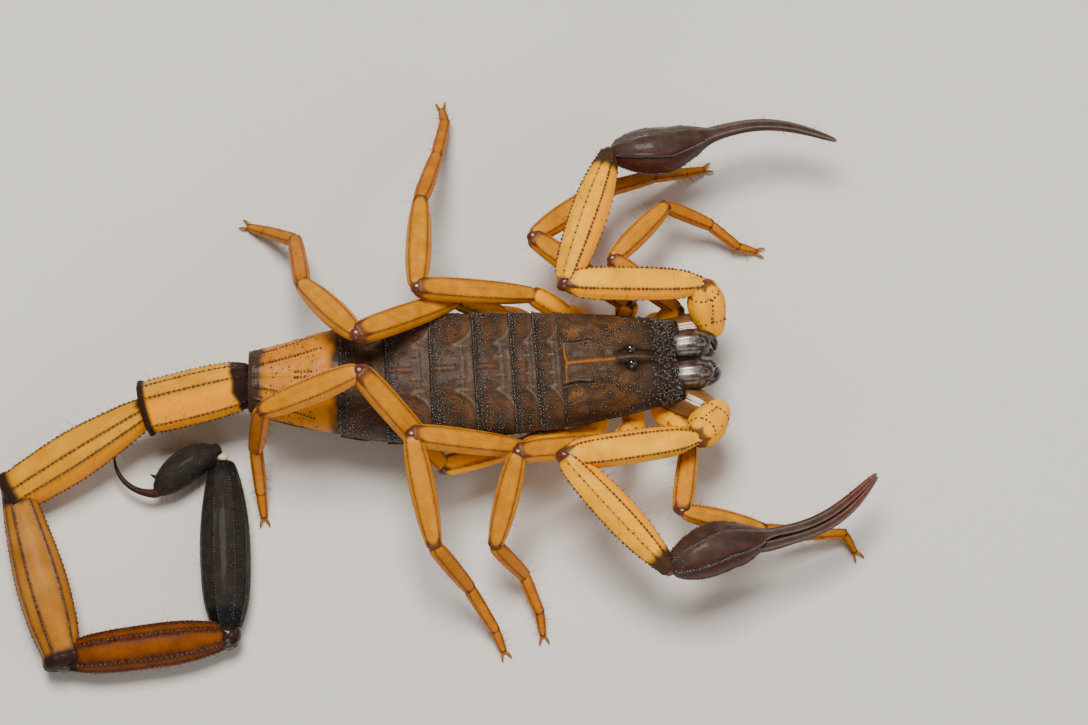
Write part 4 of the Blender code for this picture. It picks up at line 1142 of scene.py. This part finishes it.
for name, side in (("left", 1), ("right", -1)):
    base = body_place(*PALP_BASES[name])
    points = [base]
    for length, turn, rise in zip(PALP_LENGTHS, PALP_HEADINGS[name], PALP_SLOPES[name]):
        points.append(points[-1] + heading(turn, rise) * length)
    ways = [(b - a).normalized() for a, b in zip(points, points[1:])]
    turn, rise, roll = CHELA_POSE[name]
    forward = heading(turn, rise)

    coxa = rail([body_place(4.8, side * 1.6, 3.0), body_place(6.8, side * 2.0, 3.6), base - UP * 0.35])
    skin = segment(coxa, ((0, 0.5, 0.6), (0.5, 0.95, 1.0), (0.8, 0.95, 0.95), (1, 0.65, 0.7)), ROUND,
                   close=0.12, warm=lambda t, across, rise: 0.7 * ease(0.4, 1.0, t))
    settle(bend(skin, 40, 40), f"pedipalp_{name}_coxa", (coxa_brown,))

    line = [base - ways[0] * 0.75, base.lerp(points[1], 0.4), points[1] + ways[0] * 0.25]
    skin = segment(rail(line), ((0, 0.6, 0.66), (0.3, 0.96, 0.92), (0.62, 1.13, 1.06), (1, 0.72, 0.7)),
                   faceted([(math.sin(a), math.cos(a), 0.25) for a in TROCHANTER_CORNERS], 0.18),
                   crest=0.04, close=0.12, ink=knuckle,
                   warm=lambda t, across, rise: 0.5 + 0.5 * across * side)
    bm = bend(skin, 60, 48)
    for low, high in ((0.36, 0.42), (0.72, 0.66)):
        dotted(bm, skin, [(-0.22 * side, low), (0, high), (0.2 * side, low)], 0.3, 0.08)
    dotted(bm, skin, [(0.02, 0.42), (0.06, 0.68)], 0.3, 0.08)
    scatter(bm, skin, lambda u, v: 0.2 * window(v, 0.25, 0.85, 0.1), 120, 0.28, 0.06)
    settle(bm, f"pedipalp_{name}_trochanter", (amber, amber_granule),
           [f"pedipalp_{name}_trochanter"])

    for part, keels, girth, k, inner in (("femur", PALP_KEELS, FEMUR_GIRTH, 1, -side),
                                         ("patella", PATELLA_KEELS, PATELLA_GIRTH, 2, side)):
        keels = mirrored(keels, inner)
        overlap = 0.4 if k == 1 else 0.1
        skin = segment(rail([points[k] - ways[k] * overlap, points[k + 1] + ways[k] * 0.2]), girth,
                       faceted(keels, 0.1), crest=0.07, line=0.05, close=0.04,
                       ink=wrist_cap if part == "patella" else knuckle,
                       # Painted glow: one flank and the underside tinted brighter, redder amber, standing
                       # for light shining through the cuticle.
                       warm=lambda t, across, rise: 1.3 * ease(-0.3, 0.5, inner * across - 0.5 * rise))
        bm = bend(skin, 60, 84)
        bead_rows(bm, skin, keels, 0.27, 0.085)
        scatter(bm, skin, lambda u, v: 0.03, 500, 0.3, 0.035)
        bristles(bm, skin, 30, 0.8, 0.08, 0.92)
        settle(bm, f"pedipalp_{name}_{part}", (amber, amber_granule, bristle),
               [f"pedipalp_{name}_{part}"])

    out = UP.cross(forward).normalized() * side
    wide = Matrix.Rotation(math.radians(roll) * side, 3, forward) @ out
    thick = forward.cross(wide) * side
    across_way = -wide if side > 0 else wide  # keeps the right-hand order of the section
    flip = -1 if side > 0 else 1
    angles = [math.radians(HAND_TURN[name] + 60 * step) for step in range(6)]
    hand_keels = [(math.sin(a), math.cos(a), k) for a, k in zip(angles, HAND_STRENGTHS)]
    red_from, red_face = RED_FROM[name], math.radians(HAND_TURN[name] + 108)
    hand_offset = [(u, flip * value) for u, value in HAND_OFFSET]
    skin = segment(chela_rail(points[3], forward, out, across_way, thick, hand_offset), HAND_GIRTH,
                   faceted(hand_keels, 0.11), crest=0.09, line=0.04, close=0.025,
                   ink=black_keel(angles[1], red_face), warm=finger_red(0, red_from, red_face))
    bm = bend(skin, 72, 150)
    for k, low, high, size, finish in HAND_ROWS:
        dotted(bm, skin, [(k / 6, station(low)), (k / 6, station(high))], 0.17, size, 1.2, finish)
    scatter(bm, skin, lambda u, v: 0.6 if v < 0.42 else 0.05, 800, 0.2, 0.036)
    scatter(bm, skin, lambda u, v: 0.7 if v < 0.16 else 0.0, 900, 0.17, 0.06)
    bristles(bm, skin, 60, 0.45, 0.05, 0.97, 3)
    middle_line = chela_rail(points[3], forward, out, across_way, thick, ((0, 0), (1, 0)))
    for k in range(FINGER_TEETH):
        t = 0.48 + 0.49 * k / (FINGER_TEETH - 1)
        copy_in(bm, BEAD, middle_line(t)[0] + across_way * (0.04 if k % 2 else -0.04), thick,
                (0.05, 0.06, 0.19), 1)
    settle(bm, f"pedipalp_{name}_hand", (claw_brown, claw_granule, painted_glint_granule, bristle),
           [f"pedipalp_{name}_hand"])

    finger_offset = [(u, flip * value) for u, value in FINGER_OFFSET]
    skin = segment(chela_rail(points[3], forward, out, across_way, thick, finger_offset, FINGER_START),
                   FINGER_GIRTH, faceted(hand_keels, 0.11), crest=0.05, line=0.04, close=0.03,
                   warm=finger_red(FINGER_START, red_from, red_face))
    bm = bend(skin, 48, 110)
    bristles(bm, skin, 36, 0.4, 0.05, 0.97, 1)
    settle(bm, f"pedipalp_{name}_movable_finger", (claw_brown, bristle),
           [f"pedipalp_{name}_movable_finger"])

    bm = bmesh.new()
    for k, size in ((1, 0.46), (2, 0.55), (3, 0.46)):
        way = (ways[k - 1] + (ways[k] if k < 3 else forward)).normalized()
        blob = segment(rail([points[k] - way * size, points[k] + way * size]),
                       ((0, 0.4 * size, 0.4 * size), (0.5, size, size), (1, 0.4 * size, 0.4 * size)), ROUND,
                       close=0.3, warm=0.5)
        merge(bm, bend(blob, 24, 18))
        fold = UP * size * 0.8 - ways[k - 1] * (0.45 if k == 2 else 0.2)
        copy_in(bm, BEAD, points[k] + fold, UP, (0.34, 0.24, 0.2) if k == 2 else (0.14, 0.12, 0.1), 1)
    settle(bm, f"pedipalp_{name}_joint_skin", (membrane, lilac))

# ------------------------------------------------------------------------------------------------ legs
# Eight walking legs of seven segments, amber with dotted keels and dark knees, ending in two claws.
# Each segment is lofted from joint to joint; soft skin fills the joints.
LEG_LENGTHS = {1: (5.2, 5.5, 3.4, 2.35, 1.4), 2: (7.2, 5.9, 4.0, 2.5, 1.5),
               3: (8.1, 6.8, 4.7, 3.5, 1.5), 4: (8.8, 7.0, 5.2, 3.0, 1.6)}
LEG_THICKNESS = {1: 0.88, 2: 0.95, 3: 1.0, 4: 1.06}
FOOT_CENTRE, COXA_HEIGHT = 0.19, 3.1
COXAE = {1: ((5.4, 0.7), (6.1, 2.8)), 2: ((4.1, 0.7), (4.2, 3.2)),
         3: ((3.0, 0.9), (1.6, 3.5)), 4: ((1.9, 0.5), (-1.9, 3.85))}
LEGS = {  # hip joint, headings of the five outer segments, slopes of the first four
    "left_1": ((8.2, 3.3, 4.0), (146, 50, -13, -31, -8), (21, -20, -34, -31)),
    "left_2": ((5.1, 3.6, 4.1), (147, 41, 24, 18, 19), (17, -22, -26, -33)),
    "left_3": ((-0.6, 4.1, 4.6), (-175, 89, 76, 81, 101), (29, -22, -37, -35)),
    "left_4": ((-5.3, 3.6, 5.5), (-148, 129, 100, 149, 154), (38, -38, -42, -42)),
    "right_1": ((8.9, -4.7, 4.0), (-97, -8, 3, 7, -58), (17, -23, -33, -21)),
    "right_2": ((4.7, -5.1, 4.4), (-167, -105, -31, -66, -81), (27, -25, -60, -21)),
    "right_3": ((-1.1, -5.6, 4.8), (-178, -78, -40, -54, -66), (33, -18, -56, -41)),
    "right_4": ((-6.1, -6.8, 5.2), (138, -165, -120, -84, -83), (42, -28, -76, -39)),
}
LEG_KEELS = [(-0.66, 0.82, 1), (0.66, 0.82, 1), (1.0, 0.0, 0.1), (0.7, -0.8, 0.4), (-0.7, -0.8, 0.4),
             (-1.0, 0.0, 0.1)]
LEG_PARTS = {  # girth of each segment, as (part of the length, half width, half depth)
    "femur": ((0, 0.4, 0.36), (0.06, 0.52, 0.46), (0.3, 0.7, 0.58), (0.7, 0.76, 0.62), (0.93, 0.66, 0.56),
              (1, 0.5, 0.45)),
    "patella": ((0, 0.4, 0.36), (0.08, 0.6, 0.5), (0.35, 0.78, 0.62), (0.7, 0.72, 0.6), (0.93, 0.52, 0.48),
                (1, 0.42, 0.4)),
    "tibia": ((0, 0.36, 0.34), (0.1, 0.5, 0.44), (0.5, 0.52, 0.47), (0.92, 0.44, 0.42), (1, 0.36, 0.34)),
    "basitarsus": ((0, 0.3, 0.3), (0.1, 0.4, 0.37), (0.6, 0.38, 0.35), (0.93, 0.34, 0.33), (1, 0.26, 0.26)),
    "telotarsus": ((0, 0.24, 0.24), (0.15, 0.31, 0.3), (0.6, 0.28, 0.28), (1, 0.2, 0.2)),
}
CLAW_GIRTH = ((0, 0.1, 0.11), (0.5, 0.07, 0.08), (1, 0.02, 0.02))
FOOT_NODES = {"femur": ["femur"], "patella": ["patella"], "tibia": ["foot"]}  # solids a segment stands for
LEG_JOINTS = (0.46, 0.40, 0.33, 0.27, 0.22)  # radius of the soft skin at each joint

tarsus_amber = cuticle("tarsus_amber", (0.34, 0.100, 0.003), (0.48, 0.175, 0.006), (0.62, 0.19, 0.001),
                       (0.11, 0.025, 0.005), (0.06, 0.012, 0.010), 0.45, cloud=1.0, grain=0.1, pits=0.3,
                       relief=0.2, coat=0.05, glow=0.2)


def under_glow(t, across, rise):
    """Painted glow: brighter, redder amber on the flanks and under the leg, standing for light shining
    through the cuticle.
    """
    return 0.9 * ease(-0.1, 0.8, -rise) + 0.25 * ease(0.6, 1, abs(across))


for name, (hip, turns, slopes) in LEGS.items():
    pair, side = int(name[-1]), 1 if name.startswith("left") else -1
    thickness = LEG_THICKNESS[pair]
    points = [Vector(hip) + CENTRE]
    for length, turn, rise in zip(LEG_LENGTHS[pair], turns, slopes):
        points.append(points[-1] + heading(turn, rise) * length)
    reach = math.sqrt(LEG_LENGTHS[pair][4] ** 2 - (points[-1].z - FOOT_CENTRE) ** 2)
    foot = points[-1] + heading(turns[4]) * reach
    points.append(Vector((foot.x, foot.y, FOOT_CENTRE)))
    ways = [(b - a).normalized() for a, b in zip(points, points[1:])]
    inner, outer = (body_place(x, side * y, COXA_HEIGHT) for x, y in COXAE[pair])

    skin = segment(rail([inner, outer, outer.lerp(points[0], 0.4)]),
                   ((0, 0.3, 0.45), (0.2, 0.5, 0.6), (0.75, 0.68, 0.66), (1, 0.5, 0.5)), ROUND, close=0.06,
                   warm=0.35)
    bm = bend(skin, 32, 40)
    skin = segment(rail([outer.lerp(points[0], 0.3), points[0] + (points[0] - outer).normalized() * 0.25]),
                   ((0, 0.5, 0.5), (0.3, 0.64, 0.6), (0.8, 0.66, 0.62), (1, 0.5, 0.46)),
                   faceted(LEG_KEELS, 0.14), crest=0.04, close=0.1, ink=knuckle,
                   warm=0.5)
    merge(bm, bend(skin, 36, 26))
    settle(bm, f"leg_{name}_coxa", (amber, amber_granule), [f"leg_{name}_coxa"])

    for k, (part, shape) in enumerate(LEG_PARTS.items()):
        girth = [(t, half * thickness, deep * thickness) for t, half, deep in shape]
        knee = part in ("femur", "patella")
        skin = segment(rail([points[k] - ways[k] * 0.06, points[k + 1] + ways[k] * (0.2 if k < 4 else 0)]),
                       girth, faceted(LEG_KEELS, 0.12), crest=0.05 if knee else 0.02, line=0.06,
                       close=0.05, ink=knuckle,
                       warm=under_glow)
        bm = bend(skin, 48, 44 if knee else 34)
        bristles(bm, skin, 14 if knee else 20, 0.7 if knee else 0.5, 0.08, 0.95)
        if knee:
            bead_rows(bm, skin, LEG_KEELS, 0.2, 0.04)
            dotted(bm, skin, [(1 / 12, station(0.15)), (1 / 12, station(0.9))], 0.24, 0.026)
        if part == "telotarsus":
            level = Vector((ways[4].x, ways[4].y, 0)).normalized()
            for spread in (-1, 1):
                right = ways[4].cross(UP).normalized()
                root = points[5] + right * 0.1 * spread
                claw = [root, root + level * 0.3 + right * 0.14 * spread + UP * 0.12,
                        root + level * 0.56 + right * 0.2 * spread - UP * 0.1]
                skin = segment(rail(claw), CLAW_GIRTH, ROUND, close=0.05,
                               ink=lambda t, across, rise, near: 0.8 * ease(0.2, 0.9, t))
                merge(bm, bend(skin, 16, 16))
        finish = leg_amber if knee else tarsus_amber
        settle(bm, f"leg_{name}_{part}", (finish, amber_granule, bristle),
               [f"leg_{name}_{node}" for node in FOOT_NODES.get(part, [])])

    bm = bmesh.new()
    for k, size in enumerate(LEG_JOINTS):
        size *= thickness
        way = (ways[k] + (ways[k - 1] if k else (points[0] - outer).normalized())).normalized()
        blob = segment(rail([points[k] - way * size, points[k] + way * size]),
                       ((0, 0.5 * size, 0.45 * size), (0.5, size, 0.9 * size), (1, 0.5 * size, 0.45 * size)),
                       ROUND, close=0.3, warm=0.6)
        merge(bm, bend(blob, 24, 16))
        if k in (1, 2):
            copy_in(bm, BEAD, points[k] + UP * size * 0.86, UP, (0.12, 0.1, 0.08), 1)
    settle(bm, f"leg_{name}_joint_skin", (membrane, cream))
